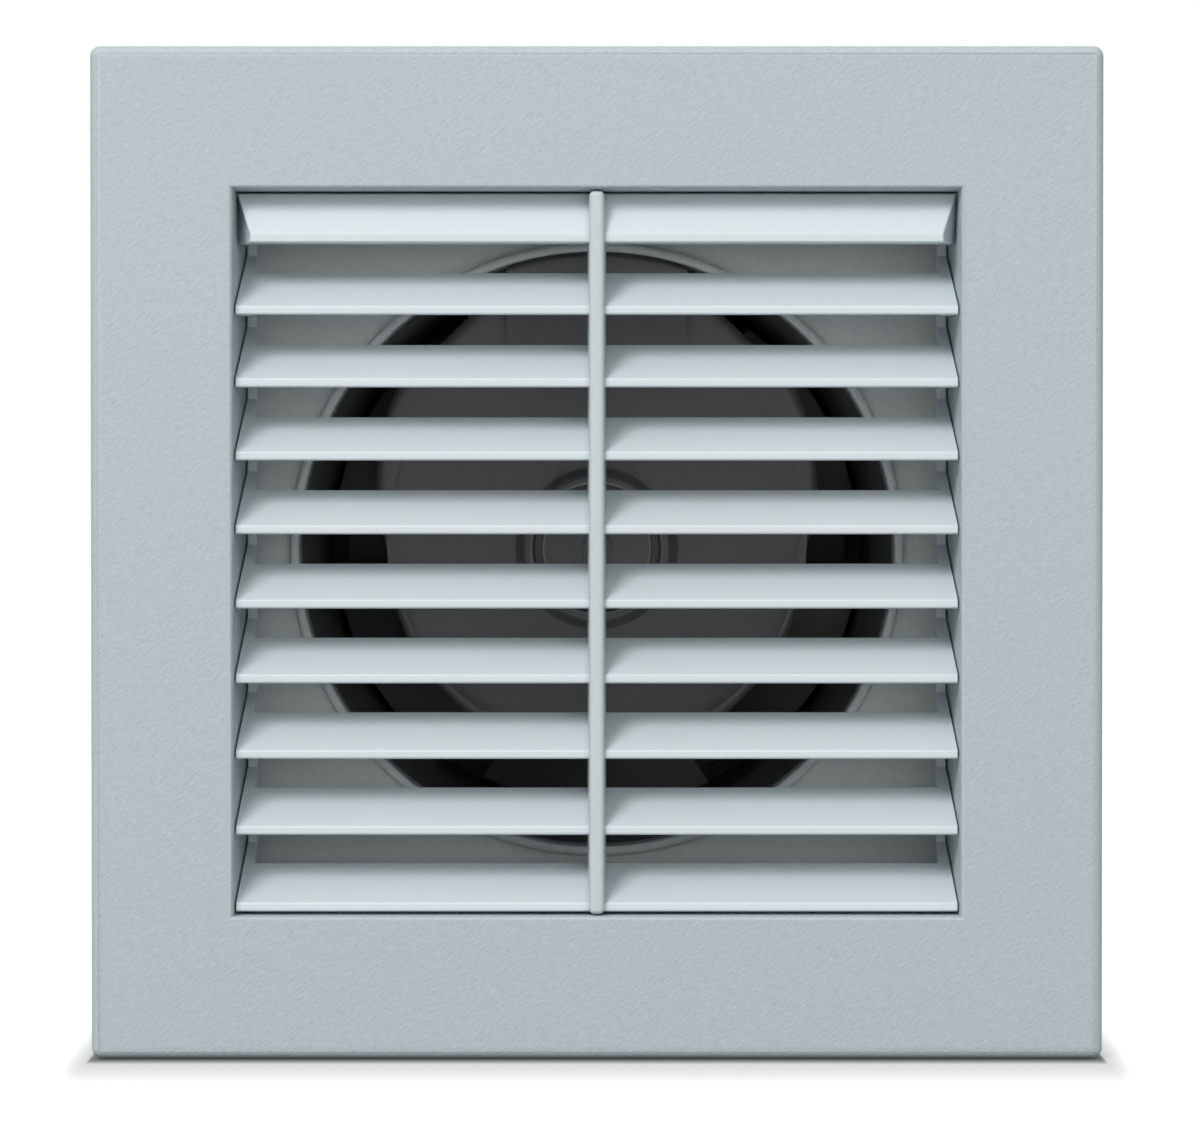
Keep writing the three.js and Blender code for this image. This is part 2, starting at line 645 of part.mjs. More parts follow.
// ---------------------------------------------------------------- body
function mountingBody() {
  const rim = cut(
    loft([squareRing(rimOuter, coverCorner, -rimDepth), squareRing(rimOuter, coverCorner, 0)]),
    loft([
      squareRing(rimOuter - rimWall, coverCorner, -rimDepth - 1),
      squareRing(rimOuter - rimWall, coverCorner, 1),
    ]),
  );
  const floor = loft([
    squareRing(rimOuter - bite, coverCorner, floorFront),
    squareRing(rimOuter - bite, coverCorner, floorRear),
  ]);
  const lipMiddle = mouthRadius + lipWidth / 2;
  const lipTop = floorFront - lipHeight;
  const lip = turned([
    [mouthRadius, floorFront + bite],
    [mouthRadius, lipTop + lipHeight / 2],
    [mouthRadius + lipWidth / 5, lipTop + lipHeight / 8],
    [lipMiddle, lipTop],
    [mouthRadius + (4 * lipWidth) / 5, lipTop + lipHeight / 8],
    [mouthRadius + lipWidth, lipTop + lipHeight / 2],
    [mouthRadius + lipWidth, floorFront + bite],
  ]);
  let body = joined(rim, floor);
  for (const x of [-fixing, fixing])
    for (const z of [-fixing, fixing])
      body = body.add(
        block([x - padSide / 2, floorRear - bite, z - padSide / 2], [x + padSide / 2, 0, z + padSide / 2]),
      );
  const bossZ = -rimOuter + rimWall;
  body = body.add(
    rod(
      coverBossRadius,
      [0, -coverScrewSetback, bossZ - bite],
      [0, -coverScrewSetback, bossZ + coverBossLength],
    ),
  );
  body = body.subtract(rod(mouthRadius, [0, floorFront - 1, 0], [0, 0, 0], 48));
  body = body.add(lip);
  const ribEnds = [gasketInner + gasketWidth + 1, rimOuter - bite];
  for (const side of [-1, 1])
    for (const offset of [-trayRibOffset, trayRibOffset]) {
      const across = [offset - trayRibThickness / 2, offset + trayRibThickness / 2];
      const along = ribEnds.map((v) => v * side).sort((a, b) => a - b);
      body = joined(
        body,
        block([across[0], floorRear - bite, along[0]], [across[1], -panelGap, along[1]]),
        block([along[0], floorRear - bite, across[0]], [along[1], -panelGap, across[1]]),
      );
    }
  const postFront = floorFront - clampGap;
  for (const z of clampScrewsZ)
    body = body.add(rod(clampPostRadius, [clampX, postFront, z], [clampX, floorFront + bite, z], 12));
  for (const [x, z] of [...clampScrewsZ.map((z) => [clampX, z]), ...lidScrews])
    body = body.subtract(
      rod(smallScrewRadius + seat, [x, postFront - 1, z], [x, floorRear - screwSkin, z], 8),
    );
  for (const x of [-fixing, fixing])
    for (const z of [-fixing, fixing])
      body = body.subtract(rod(fixingHoleRadius, [x, floorFront - 1, z], [x, 1, z]));
  for (const [x, z] of flangeScrewPlaces)
    body = body.subtract(rod(flangeScrewRadius + seat, [x, floorFront + screwSkin, z], [x, 0, z], 8));
  body = body.subtract(
    rod(
      coverScrewRadius + seat,
      [0, -coverScrewSetback, -half],
      [0, -coverScrewSetback, -skirtInner + coverScrewLength],
    ),
  );
  for (const x of [-hookOffset, hookOffset])
    body = body.subtract(
      block(
        [x - hookWidth / 2 - seat, -hookSetback - hookThickness / 2 - seat, hookZ - 1],
        [x + hookWidth / 2 + seat, -hookSetback + hookThickness / 2 + seat, half],
      ),
    );
  return body.subtract(
    rod(cableHoleRadius, [cableHoleX, floorFront - 1, terminalMiddle], [cableHoleX, 0, terminalMiddle]),
  );
}
piece("mounting_body", mountingBody(), "body_plastic");

// A slotted screw: its head ends at the first point, where a domed head seats, and the shank runs to the
// second. A countersunk head is a cone that ends there.
const slotLength = 1.3; // shares of the head's radius
const slotWidth = 0.28;
const slotDepth = 0.5; // share of the head's height
const domeRadius = 0.7; // flat top of a domed head, as a share of its radius
function screw(radius, headRadius, headHeight, from, to, countersunk = false) {
  const start = new THREE.Vector3(...from);
  const along = new THREE.Vector3(...to).sub(start);
  const length = along.length();
  const head = countersunk
    ? [[headRadius, -headHeight]]
    : [[headRadius * domeRadius, -headHeight], [headRadius, 0]];
  const profile = [[0, -headHeight], ...head, [radius, 0], [radius, length - radius], [0, length]];
  const slot = new THREE.BoxGeometry(headRadius * slotLength, headHeight, headRadius * slotWidth);
  slot.translate(0, headHeight * (slotDepth - 1.5), 0);
  const turn = new THREE.Quaternion().setFromUnitVectors(
    new THREE.Vector3(0, 1, 0),
    along.clone().normalize(),
  );
  const place = (geometry) =>
    solid(geometry.applyQuaternion(turn).translate(start.x, start.y, start.z));
  const outline = profile.map(([r, y]) => new THREE.Vector2(r, y));
  return cut(place(new THREE.LatheGeometry(outline, 10)), place(slot));
}

piece(
  "cover_screw",
  screw(
    coverScrewRadius,
    coverScrewHeadRadius,
    coverScrewHeadHeight,
    [0, -coverScrewSetback, -half + coverScrewHeadHeight],
    [0, -coverScrewSetback, -half + coverScrewLength],
    true,
  ),
  "screw_zinc",
);

piece(
  "panel_gasket",
  ring(gasketInner, gasketInner + gasketWidth, floorRear + seat, 0),
  "grey_foam",
);

// ---------------------------------------------------------------- duct housing
// The pod seen from the room: round below, straight-sided in the middle, with shoulders that run out to the
// duct's wall, where the wiring arm starts. The scale draws it inwards for the inside of the pod's wall.
function podOutline(scale) {
  const shape = new THREE.Shape();
  const at = (x, z) => [x * scale, z * scale];
  shape.absarc(0, 0, podRadius * scale, Math.PI, 2 * Math.PI);
  const bulge = podHalfWidth + podSideBulge;
  const neckCurve = [armHalfWidth + neckFlare, neckZ + neckRise];
  const top = throatRadius + 2 * ductWall; // beyond the duct's wall, which cuts it
  shape.bezierCurveTo(
    ...at(podHalfWidth, podSideLow),
    ...at(bulge, podSideHigh),
    ...at(shoulderX, shoulderZ),
  );
  shape.lineTo(...at(neckX, neckZ));
  shape.quadraticCurveTo(...at(neckCurve[0], neckCurve[1]), ...at(armHalfWidth, top));
  shape.lineTo(...at(-armHalfWidth, top));
  shape.quadraticCurveTo(...at(-neckCurve[0], neckCurve[1]), ...at(-neckX, neckZ));
  shape.lineTo(...at(-shoulderX, shoulderZ));
  shape.bezierCurveTo(...at(-bulge, podSideHigh), ...at(-podHalfWidth, podSideLow), ...at(-podRadius, 0));
  return shape;
}

function ductHousing() {
  const mouth = mouthRadius - seat;
  const ledge = flapPlane - flapThickness / 2 - seat - ledgeThickness;
  const duct = turned([
    [mouth, flangeFront],
    [flangeRadius, flangeFront],
    [flangeRadius, flangeRear],
    [mouth + ductWall, flangeRear],
    [throatRadius + ductWall, throatStart],
    [throatRadius + ductWall, ductEnd - ductChamfer],
    [throatRadius + ductWall - ductChamfer, ductEnd],
    [throatRadius, ductEnd],
    [throatRadius, ledge + ledgeThickness],
    [ledgeInnerRadius, ledge + ledgeThickness],
    [ledgeInnerRadius, ledge],
    [throatRadius, ledge - ledgeThickness],
    [throatRadius, throatStart],
  ]);
  const pinReach = throatRadius + ductWall + 1;
  const pinHoles = rod(flapPinRadius + seat, [0, flapPlane, -pinReach], [0, flapPlane, pinReach], 12);
  const screwHoles = flangeScrewPlaces.map(([x, z]) =>
    rod(flangeScrewRadius + seat, [x, floorFront, z], [x, 1, z], 8),
  );
  return cut(duct, pinHoles, ...screwHoles);
}
piece("duct_housing", ductHousing(), "fan_plastic");

// The pod's back half: a tray that holds the motor on two bosses, with its neck against the duct's wall.
function motorCarrier() {
  const shell = plate(podOutline(1), podSplit + seat, podBack).intersect(
    plate(disc(throatRadius - seat), podSplit, podBack, 24),
  );
  const pocket = plate(podOutline(podInside), podSplit, floorOfCarrier).intersect(
    plate(disc(throatRadius - seat - podWall), podSplit - 1, podBack, 24),
  );
  let carrier = cut(shell, pocket);
  const bossFront = coreBack + bracketThickness + 2 * seat;
  const holeEnd = podBack - motorBossSkin;
  for (const x of [-motorScrewX, motorScrewX])
    carrier = cut(
      carrier.add(rod(motorBossRadius, [x, bossFront, 0], [x, podBack - bite, 0])),
      rod(motorScrewRadius + seat, [x, bossFront - 1, 0], [x, holeEnd, 0], 8),
    );
  return carrier.subtract(rod(bracketBossRadius + seat, [0, podSplit, 0], [0, podBack + 1, 0], 20));
}
piece("motor_carrier", motorCarrier(), "fan_plastic");

flangeScrewPlaces.forEach(([x, z], i) =>
  piece(
    `flange_screw_${i + 1}`,
    screw(
      flangeScrewRadius,
      flangeScrewHeadRadius,
      flangeScrewHeadHeight,
      [x, flangeRear + seat, z],
      [x, floorFront + screwSkin + seat, z],
    ),
    "screw_zinc",
  ),
);

// The pod's front: a shell with a dished face, hub rings, and the wiring arm that climbs over the duct's lip.
function motorCover() {
  const shell = [];
  const steps = 2;
  for (let i = 0; i <= steps; i++) {
    const angle = (i / steps) * (Math.PI / 2);
    const inset = podEdge * (1 - Math.sin(angle));
    shell.push({ y: podFront + podEdge * (1 - Math.cos(angle)), scale: (podRadius - inset) / podRadius });
  }
  shell.push({ y: podSplit, scale: 1 });
  const outline = (scale) =>
    podOutline(scale)
      .getPoints(6)
      .filter((p, i, all) => i === 0 || p.distanceTo(all[i - 1]) > 1e-3);
  let cover = null;
  for (let i = 0; i + 1 < shell.length; i++) {
    const [near, far] = [shell[i], shell[i + 1]];
    const layer = frustum(outline(near.scale), outline(far.scale), near.y, far.y);
    cover = cover ? cover.add(layer) : layer;
  }
  cover = cover.intersect(plate(disc(throatRadius - seat), podFront - 1, podSplit, 24));
  const pocket = plate(podOutline(podInside), podInnerFace, podSplit + 1).intersect(
    plate(disc(throatRadius - seat - podWall), podFront, podSplit + 2, 24),
  );
  cover = cover.subtract(pocket);
  const armFront = floorFront - armProud;
  const innerTop = Math.sqrt((throatRadius - seat) ** 2 - armHalfWidth ** 2) - seat;
  const armRoot = innerTop - armRise;
  const arm = profileBar(
    [
      [podFront + podWall, armRoot - podWall],
      [podFront, armRoot - podWall],
      [armFront + armShoulder / 2, innerTop + armShoulder / 2],
      [armFront, innerTop + 1.5 * armShoulder],
      [armFront, armTop],
      [floorFront - seat, armTop],
      [floorFront - seat, innerTop],
      [podFront + podWall, innerTop],
    ],
    -armHalfWidth,
    armHalfWidth,
  );
  const channel = profileBar(
    [
      [podFront + podWall + 1, armRoot],
      [podFront + 1, armRoot],
      [armFront + podWall, innerTop + armShoulder],
      [armFront + podWall, armTop + 1],
      [floorFront + 1, armTop + 1],
      [floorFront + 1, innerTop],
      [podFront + podWall + 1, innerTop - podWall],
    ],
    -armHalfWidth + podWall,
    armHalfWidth - podWall,
  );
  const lipRoom = ring(
    mouthRadius - seat,
    mouthRadius + lipWidth + seat,
    floorFront - lipHeight - seat,
    floorFront + 1,
  );
  cover = cut(cover.add(arm), channel, lipRoom);
  const dishSteps = 4;
  const dishProfile = [[0, podFront - 1], [dishRadius, podFront - 1]];
  for (let i = 0; i <= dishSteps; i++) {
    const angle = (i / dishSteps) * (Math.PI / 2);
    dishProfile.push([dishRadius * Math.cos(angle), podFront + dishDepth * Math.sin(angle)]);
  }
  const dish = turned(dishProfile).translate(0, 0, dishCentre);
  const foot = block([-armHalfWidth, armFront, armRoot - armFoot], [armHalfWidth, podFront, armTop]);
  cover = cover.subtract(cut(dish, foot));
  const hubFloor = podFront + dishDepth;
  const ringInner = hubRingRadius - hubRingWidth;
  const hub = turned(
    [
      [0, hubFloor - hubDiscHeight - hubDiscCrown],
      [hubDiscRadius, hubFloor - hubDiscHeight],
      [hubDiscRadius, hubFloor],
      [ringInner, hubFloor],
      [ringInner, hubFloor - hubRingHeight],
      [hubRingRadius, hubFloor - hubRingHeight],
      [hubRingRadius + hubRingFoot, hubFloor - seat],
      [hubRingRadius + hubRingFoot, hubFloor + bite],
      [0, hubFloor + bite],
    ],
    32,
  );
  const pipFront = hubFloor - hubDiscHeight - hubDiscCrown - hubPipHeight;
  const pip = rod(hubPipRadius, [0, pipFront, 0], [0, hubFloor, 0]);
  return joined(cover, hub, pip);
}

// A solid between two outlines of equal point count in x and z, at two values of y.
function frustum(front, back, yFront, yBack) {
  const faces = THREE.ShapeUtils.triangulateShape(back, []);
  const count = back.length;
  const positions = [
    ...front.flatMap((p) => [p.x, yFront, p.y]),
    ...back.flatMap((p) => [p.x, yBack, p.y]),
  ];
  const index = [];
  for (let i = 0; i < count; i++) {
    const next = (i + 1) % count;
    index.push(i, next + count, next, i, i + count, next + count);
  }
  for (const [a, b, c] of faces) {
    index.push(a, b, c);
    index.push(a + count, c + count, b + count);
  }
  const geometry = new THREE.BufferGeometry();
  geometry.setAttribute("position", new THREE.Float32BufferAttribute(positions, 3));
  geometry.setIndex(index);
  return solid(geometry);
}
piece("motor_cover", motorCover(), "fan_plastic");

// ---------------------------------------------------------------- motor
const bracketFront = coreFront - seat - bracketThickness;
const bracketRear = coreBack + seat;

function statorCore() {
  const outline = new THREE.Shape();
  outline.moveTo(-coreHalfWidth + coreChamfer, coreBottom);
  outline.lineTo(coreHalfWidth - coreChamfer, coreBottom);
  outline.lineTo(coreHalfWidth, coreBottom + coreChamfer);
  outline.lineTo(coreHalfWidth, coreTop);
  outline.lineTo(-coreHalfWidth, coreTop);
  outline.lineTo(-coreHalfWidth, coreBottom + coreChamfer);
  outline.holes.push(new THREE.Path().absarc(0, 0, rotorRadius + rotorGap, 0, 2 * Math.PI, true));
  const window = new THREE.Path();
  window.moveTo(-windowHalfWidth, windowBottom);
  window.lineTo(-windowHalfWidth, coreTop - legHeight);
  window.lineTo(windowHalfWidth, coreTop - legHeight);
  window.lineTo(windowHalfWidth, windowBottom);
  outline.holes.push(window);
  let core = plate(outline, coreFront, coreBack, 14);
  for (const x of [-motorScrewX, motorScrewX])
    core = core.subtract(rod(motorScrewRadius + seat, [x, coreFront - 1, 0], [x, coreBack + 1, 0], 8));
  return core;
}
piece("stator_core", statorCore(), "core_steel");

// The bobbin is a box sleeve on the core's top leg, with a cheek at each end; the winding fills it.
const sleeve = (grow, halfLength) =>
  block(
    [-halfLength, coreFront - grow, coreTop - legHeight - grow],
    [halfLength, coreBack + grow, coreTop + grow],
  );
const bobbinInside = sleeve(seat, bobbinHalfLength + 1);
const cheekGrow = seat + bobbinWall + windingThickness;
const cheeks = cut(
  sleeve(cheekGrow, bobbinHalfLength),
  sleeve(cheekGrow + 1, bobbinHalfLength - bobbinWall),
);
piece(
  "coil_bobbin",
  cut(sleeve(seat + bobbinWall, bobbinHalfLength).add(cheeks), bobbinInside),
  "bobbin_plastic",
);
piece(
  "coil_winding",
  cut(
    sleeve(bobbinWall + windingThickness, bobbinHalfLength - bobbinWall - seat),
    sleeve(2 * seat + bobbinWall, bobbinHalfLength),
  ),
  "copper",
);

// Each bearing bracket is a steel strap across the core with a turned boss that holds a bronze bush.
function bearingBracket(front, bossFront, bossRear) {
  const halfWidth = coreHalfWidth - bracketInset;
  const outline = new THREE.Shape();
  outline.absarc(halfWidth - bracketWidth / 2, 0, bracketWidth / 2, -Math.PI / 2, Math.PI / 2);
  outline.absarc(-halfWidth + bracketWidth / 2, 0, bracketWidth / 2, Math.PI / 2, (3 * Math.PI) / 2);
  let bracket = plate(outline, front, front + bracketThickness, 6);
  bracket = bracket.add(rod(bracketBossRadius, [0, bossFront, 0], [0, bossRear, 0], 20));
  bracket = bracket.subtract(rod(bearingRadius + seat, [0, bossFront - 1, 0], [0, bossRear + 1, 0], 20));
  for (const x of [-motorScrewX, motorScrewX])
    bracket = bracket.subtract(
      rod(motorScrewRadius + seat, [x, front - 1, 0], [x, front + bracketThickness + 1, 0], 8),
    );
  return bracket;
}
const bossFrontEnds = [podInnerFace + seat, bracketFront + bracketThickness];
const bossRearEnds = [bracketRear, bracketRear + bearingLength + 1];
piece("bearing_bracket_front", bearingBracket(bracketFront, ...bossFrontEnds), "bracket_steel");
piece("bearing_bracket_rear", bearingBracket(bracketRear, ...bossRearEnds), "bracket_steel");

const bush = (front, back) => ring(shaftRadius + bearingClearance, bearingRadius, front, back, 20);
piece("bearing_front", bush(bossFrontEnds[0] + seat, bossFrontEnds[1]), "bronze");
piece("bearing_rear", bush(bossRearEnds[0], bossRearEnds[1] - seat), "bronze");

for (const [i, x] of [-motorScrewX, motorScrewX].entries())
  piece(
    `motor_screw_${i + 1}`,
    screw(
      motorScrewRadius,
      motorScrewHeadRadius,
      motorScrewHeadHeight,
      [x, bracketFront - seat, 0],
      [x, podBack - motorBossSkin - seat, 0],
    ),
    "screw_zinc",
  );

// ---------------------------------------------------------------- what turns
piece(
  "rotor",
  ring(shaftRadius + seat, rotorRadius, coreFront + seat, coreBack - seat, 28),
  "core_steel",
);
piece("shaft", rod(shaftRadius, [0, bossFrontEnds[0] + seat, 0], [0, shaftEnd, 0]), "shaft_steel");

// A blade's middle surface: s runs from root to tip, t along the chord. The blade twists and flattens towards
// its tip, and its chord is cambered along the axis.
function bladePoint(s, t) {
  const radius = hubRadius - bite + s * (bladeTip - hubRadius + bite);
  const mix = (root, tip) => root + (tip - root) * s;
  const angle = ((t - 0.5) * mix(bladeRootSweep, bladeTipSweep) * Math.PI) / 180;
  const along = (t - 0.5) * mix(bladeRootDepth, bladeTipDepth);
  const camber = bladeCamber * (1 - (2 * t - 1) ** 2);
  const middle = impellerFront + hubDepth / 2;
  return [radius * Math.sin(angle), middle + along - camber, radius * Math.cos(angle)];
}

function impeller() {
  const rear = impellerFront + hubDepth;
  let wheel = turned(
    [
      [shaftRadius + seat, impellerFront],
      [hubRadius - hubEdge, impellerFront],
      [hubRadius, impellerFront + hubEdge],
      [hubRadius, rear],
      [hubRadius - hubWall, rear],
      [hubRadius - hubWall, impellerFront + hubWall],
      [hubBossRadius, impellerFront + hubWall],
      [hubBossRadius, rear],
      [shaftRadius + seat, rear],
    ],
    30,
  );
  const [rows, columns] = [3, 5];
  const blade = sheet(bladePoint, rows, columns, bladeThickness);
  const web = block(
    [hubBossRadius - bite, impellerFront + hubWall - bite, -hubWebThickness / 2],
    [hubRadius - hubWall + bite, rear - hubWebSetback, hubWebThickness / 2],
  );
  for (let i = 0; i < bladeCount; i++) {
    const turn = [0, (360 * i) / bladeCount, 0];
    wheel = joined(wheel, blade.rotate(turn), web.rotate(turn));
  }
  return wheel;
}
piece("impeller", impeller(), "fan_plastic");

// A round nut with finger flutes holds the impeller on the shaft's end.
function impellerNut() {
  const front = impellerFront + hubDepth + seat;
  let nut = turned(
    [
      [shaftRadius + seat, front],
      [nutRadius, front],
      [nutRadius, front + nutHeight - nutChamfer],
      [nutRadius - nutChamfer, front + nutHeight],
      [shaftRadius + seat, front + nutHeight],
    ],
    24,
  );
  const fluteCircle = nutRadius + nutFluteRadius - nutFluteDepth;
  for (let i = 0; i < nutFlutes; i++) {
    const angle = (i / nutFlutes) * 2 * Math.PI;
    const [x, z] = [fluteCircle * Math.cos(angle), fluteCircle * Math.sin(angle)];
    nut = nut.subtract(rod(nutFluteRadius, [x, front - 1, z], [x, front + nutHeight + 1, z], 8));
  }
  return nut;
}
piece("impeller_nut", impellerNut(), "flap_plastic");

// ---------------------------------------------------------------- backdraught flaps
// Each half disc has every second knuckle on the pin, and clears the other half's knuckles.
function flap(side) {
  const back = flapPlane + flapThickness / 2;
  const front = flapPlane - flapThickness / 2;
  const outline = new THREE.Shape();
  const start = Math.acos((knuckleRadius + seat) / flapRadius);
  outline.absarc(0, 0, flapRadius, -start, start);
  let leaf = plate(outline, front, back, 14);
  const rib = ring(flapRibRadius, flapRibRadius + flapRibWidth, back - bite, back + flapRibHeight, 36);
  const ribRoom = block([flapRibStart, 0, -half], [half, ductEnd, half]);
  leaf = leaf.add(rib.intersect(ribRoom));
  const total = knuckleRows * knuckleLength;
  for (let i = 0; i < knuckleRows; i++) {
    if (i % 2 !== (side > 0 ? 0 : 1)) continue;
    const low = -total / 2 + i * knuckleLength + knuckleClearance / 2;
    const high = low + knuckleLength - knuckleClearance;
    leaf = leaf.add(rod(knuckleRadius, [0, flapPlane, low], [0, flapPlane, high]));
    leaf = leaf.add(block([0, front, low], [knuckleRadius + 1, back, high]));
  }
  leaf = leaf.subtract(
    rod(flapPinRadius + knuckleClearance, [0, flapPlane, -half], [0, flapPlane, half], 12),
  );
  return side > 0 ? leaf : leaf.mirror([1, 0, 0]);
}
piece("flap_right", flap(1), "flap_plastic");
piece("flap_left", flap(-1), "flap_plastic");
const pinHalf = throatRadius + ductWall - 0.5;
piece("flap_pin", rod(flapPinRadius, [0, flapPlane, -pinHalf], [0, flapPlane, pinHalf], 12), "shaft_steel");

// ---------------------------------------------------------------- wiring
const terminalFront = floorFront - seat - terminalDepth;
const poleX = (i) => (i - (terminalPoles - 1) / 2) * terminalPitch;

function terminalBlock() {
  let body = block(
    [-terminalWidth / 2, terminalFront, terminalFoot],
    [terminalWidth / 2, floorFront - seat, terminalTop],
  );
  const wireY = floorFront - terminalWireSetback;
  for (let i = 0; i < terminalPoles; i++) {
    const x = poleX(i);
    body = cut(
      body,
      rod(
        terminalScrewHeadRadius + seat,
        [x, terminalFront - 1, terminalMiddle],
        [x, terminalFront + terminalWell, terminalMiddle],
        12,
      ),
      rod(terminalWireRadius, [x, wireY, terminalFoot - 1], [x, wireY, terminalTop + 1], 8),
    );
  }
  for (let i = 0; i + 1 < terminalPoles; i++) {
    const x = (poleX(i) + poleX(i + 1)) / 2;
    body = body.subtract(
      block(
        [x - terminalSlotWidth / 2, terminalFront - 1, terminalFoot - 1],
        [x + terminalSlotWidth / 2, terminalFront + terminalSlotDepth, terminalTop + 1],
      ),
    );
  }
  return body;
}
piece("terminal_block", terminalBlock(), "terminal_plastic");

for (let i = 0; i < terminalPoles; i++) {
  const end = terminalFront + terminalWell - seat;
  piece(
    `terminal_screw_${i + 1}`,
    screw(
      terminalScrewRadius,
      terminalScrewHeadRadius,
      terminalScrewHeadHeight,
      [poleX(i), end - terminalScrewLength, terminalMiddle],
      [poleX(i), end, terminalMiddle],
    ),
    "bronze",
  );
}

// The lid over the terminal block is open towards the wiring arm and has a lug on each side.
function terminalLid() {
  const top = terminalTop + terminalLidGap + terminalLidWall;
  const front = terminalFront - terminalLidGap - terminalLidWall;
  const outside = block([-lidHalfWidth, front, terminalFoot], [lidHalfWidth, floorFront - seat, top]);
  const insideHalf = lidHalfWidth - terminalLidWall;
  const inside = block(
    [-insideHalf, front + terminalLidWall, terminalFoot - 1],
    [insideHalf, floorFront + 1, top - terminalLidWall],
  );
  const wireGap = block(
    [-lidHalfWidth - 1, floorFront - seat - lidWireDepth, terminalMiddle - lidWireHeight / 2],
    [-insideHalf + 1, floorFront + 1, terminalMiddle + lidWireHeight / 2],
  );
  let lid = outside;
  for (const [x, z] of lidScrews)
    lid = lid.add(
      block(
        [x - lidLugWidth / 2 - bite, floorFront - seat - lidLugThickness, z - lidLugHeight / 2],
        [x + lidLugWidth / 2 + bite, floorFront - seat, z + lidLugHeight / 2],
      ),
    );
  lid = lid.subtract(inside);
  for (const [x, z] of lidScrews)
    lid = lid.subtract(rod(smallScrewRadius + seat, [x, front, z], [x, floorFront, z], 8));
  return lid.subtract(wireGap.intersect(outside));
}
piece("terminal_lid", terminalLid(), "fan_plastic");

lidScrews.forEach(([x, z], i) =>
  piece(
    `lid_screw_${i + 1}`,
    screw(
      smallScrewRadius,
      smallScrewHeadRadius,
      smallScrewHeadHeight,
      [x, floorFront - 2 * seat - lidLugThickness, z],
      [x, floorRear - screwSkin - seat, z],
    ),
    "screw_zinc",
  ),
);

// The strap that holds the supply cable down lies across two posts of the tray.
function cableClamp() {
  const back = floorFront - clampGap - seat;
  let strap = block(
    [clampX - clampWidth / 2, back - clampThickness, terminalMiddle - clampLength / 2],
    [clampX + clampWidth / 2, back, terminalMiddle + clampLength / 2],
  );
  const saddleY = back + clampSaddleRadius - clampSaddleDepth;
  strap = strap.subtract(
    rod(
      clampSaddleRadius,
      [clampX - clampWidth, saddleY, terminalMiddle],
      [clampX + clampWidth, saddleY, terminalMiddle],
    ),
  );
  for (const z of clampScrewsZ)
    strap = strap.subtract(
      rod(smallScrewRadius + seat, [clampX, back - clampThickness - 1, z], [clampX, back + 1, z], 8),
    );
  return strap;
}
piece("cable_clamp", cableClamp(), "fan_plastic");
clampScrewsZ.forEach((z, i) => {
  const seatY = floorFront - clampGap - 2 * seat - clampThickness;
  piece(
    `clamp_screw_${i + 1}`,
    screw(
      smallScrewRadius,
      smallScrewHeadRadius,
      smallScrewHeadHeight,
      [clampX, seatY, z],
      [clampX, floorRear - screwSkin - seat, z],
    ),
    "screw_zinc",
  );
});

// The rubber bush that lines the cable's hole in the tray floor.
const grommetBarrel = cableHoleRadius - seat;
piece(
  "cable_grommet",
  turned(
    [
      [grommetBarrel - grommetWall, floorFront - seat - grommetFlange],
      [grommetFlangeRadius, floorFront - seat - grommetFlange],
      [grommetFlangeRadius, floorFront - seat],
      [grommetBarrel, floorFront - seat],
      [grommetBarrel, floorRear + seat],
      [grommetFlangeRadius, floorRear + seat],
      [grommetFlangeRadius, floorRear + seat + grommetFlange],
      [grommetBarrel - grommetWall, floorRear + seat + grommetFlange],
    ],
    16,
  ).translate(cableHoleX, 0, terminalMiddle),
  "black_rubber",
);

export default fan;
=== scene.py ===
# %% [markdown]
# # Window exhaust fan
# A small exhaust fan for a 100 mm duct, seen square-on from the room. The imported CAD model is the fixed
# frame: it says where every piece is. This script gives each piece its fine shape and its finish, and sets
# the light and the camera. Lengths are in metres. -Y faces the room, +Y runs along the fan axis to the
# outside.

# %% Frame
import json
import math

import bmesh
import bpy
from mathutils import Matrix, Vector


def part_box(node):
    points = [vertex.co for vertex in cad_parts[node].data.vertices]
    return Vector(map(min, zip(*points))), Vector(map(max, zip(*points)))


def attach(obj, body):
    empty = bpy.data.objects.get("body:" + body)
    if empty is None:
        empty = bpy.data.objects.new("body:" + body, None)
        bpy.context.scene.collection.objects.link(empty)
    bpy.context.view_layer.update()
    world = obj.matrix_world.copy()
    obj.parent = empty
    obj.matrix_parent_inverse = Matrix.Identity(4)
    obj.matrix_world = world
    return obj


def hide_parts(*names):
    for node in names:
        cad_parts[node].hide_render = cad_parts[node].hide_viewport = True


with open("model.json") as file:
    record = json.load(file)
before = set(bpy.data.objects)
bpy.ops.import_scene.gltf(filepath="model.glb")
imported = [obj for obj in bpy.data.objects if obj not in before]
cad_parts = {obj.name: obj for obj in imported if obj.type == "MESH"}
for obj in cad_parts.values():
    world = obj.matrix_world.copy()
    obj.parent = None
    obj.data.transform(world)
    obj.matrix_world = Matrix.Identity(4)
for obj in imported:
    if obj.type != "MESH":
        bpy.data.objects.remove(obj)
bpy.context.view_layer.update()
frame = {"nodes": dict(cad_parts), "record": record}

MM = 0.001

# %% [markdown]
# ## Camera
# The photograph looks straight at the cover from about a metre away, so the far slats shrink only a little.
# A long lens at that distance gives the same picture. The camera stands a little above the middle, since
# the mouth shows slightly high in the opening, and a small shift puts the fan where the photograph has it.

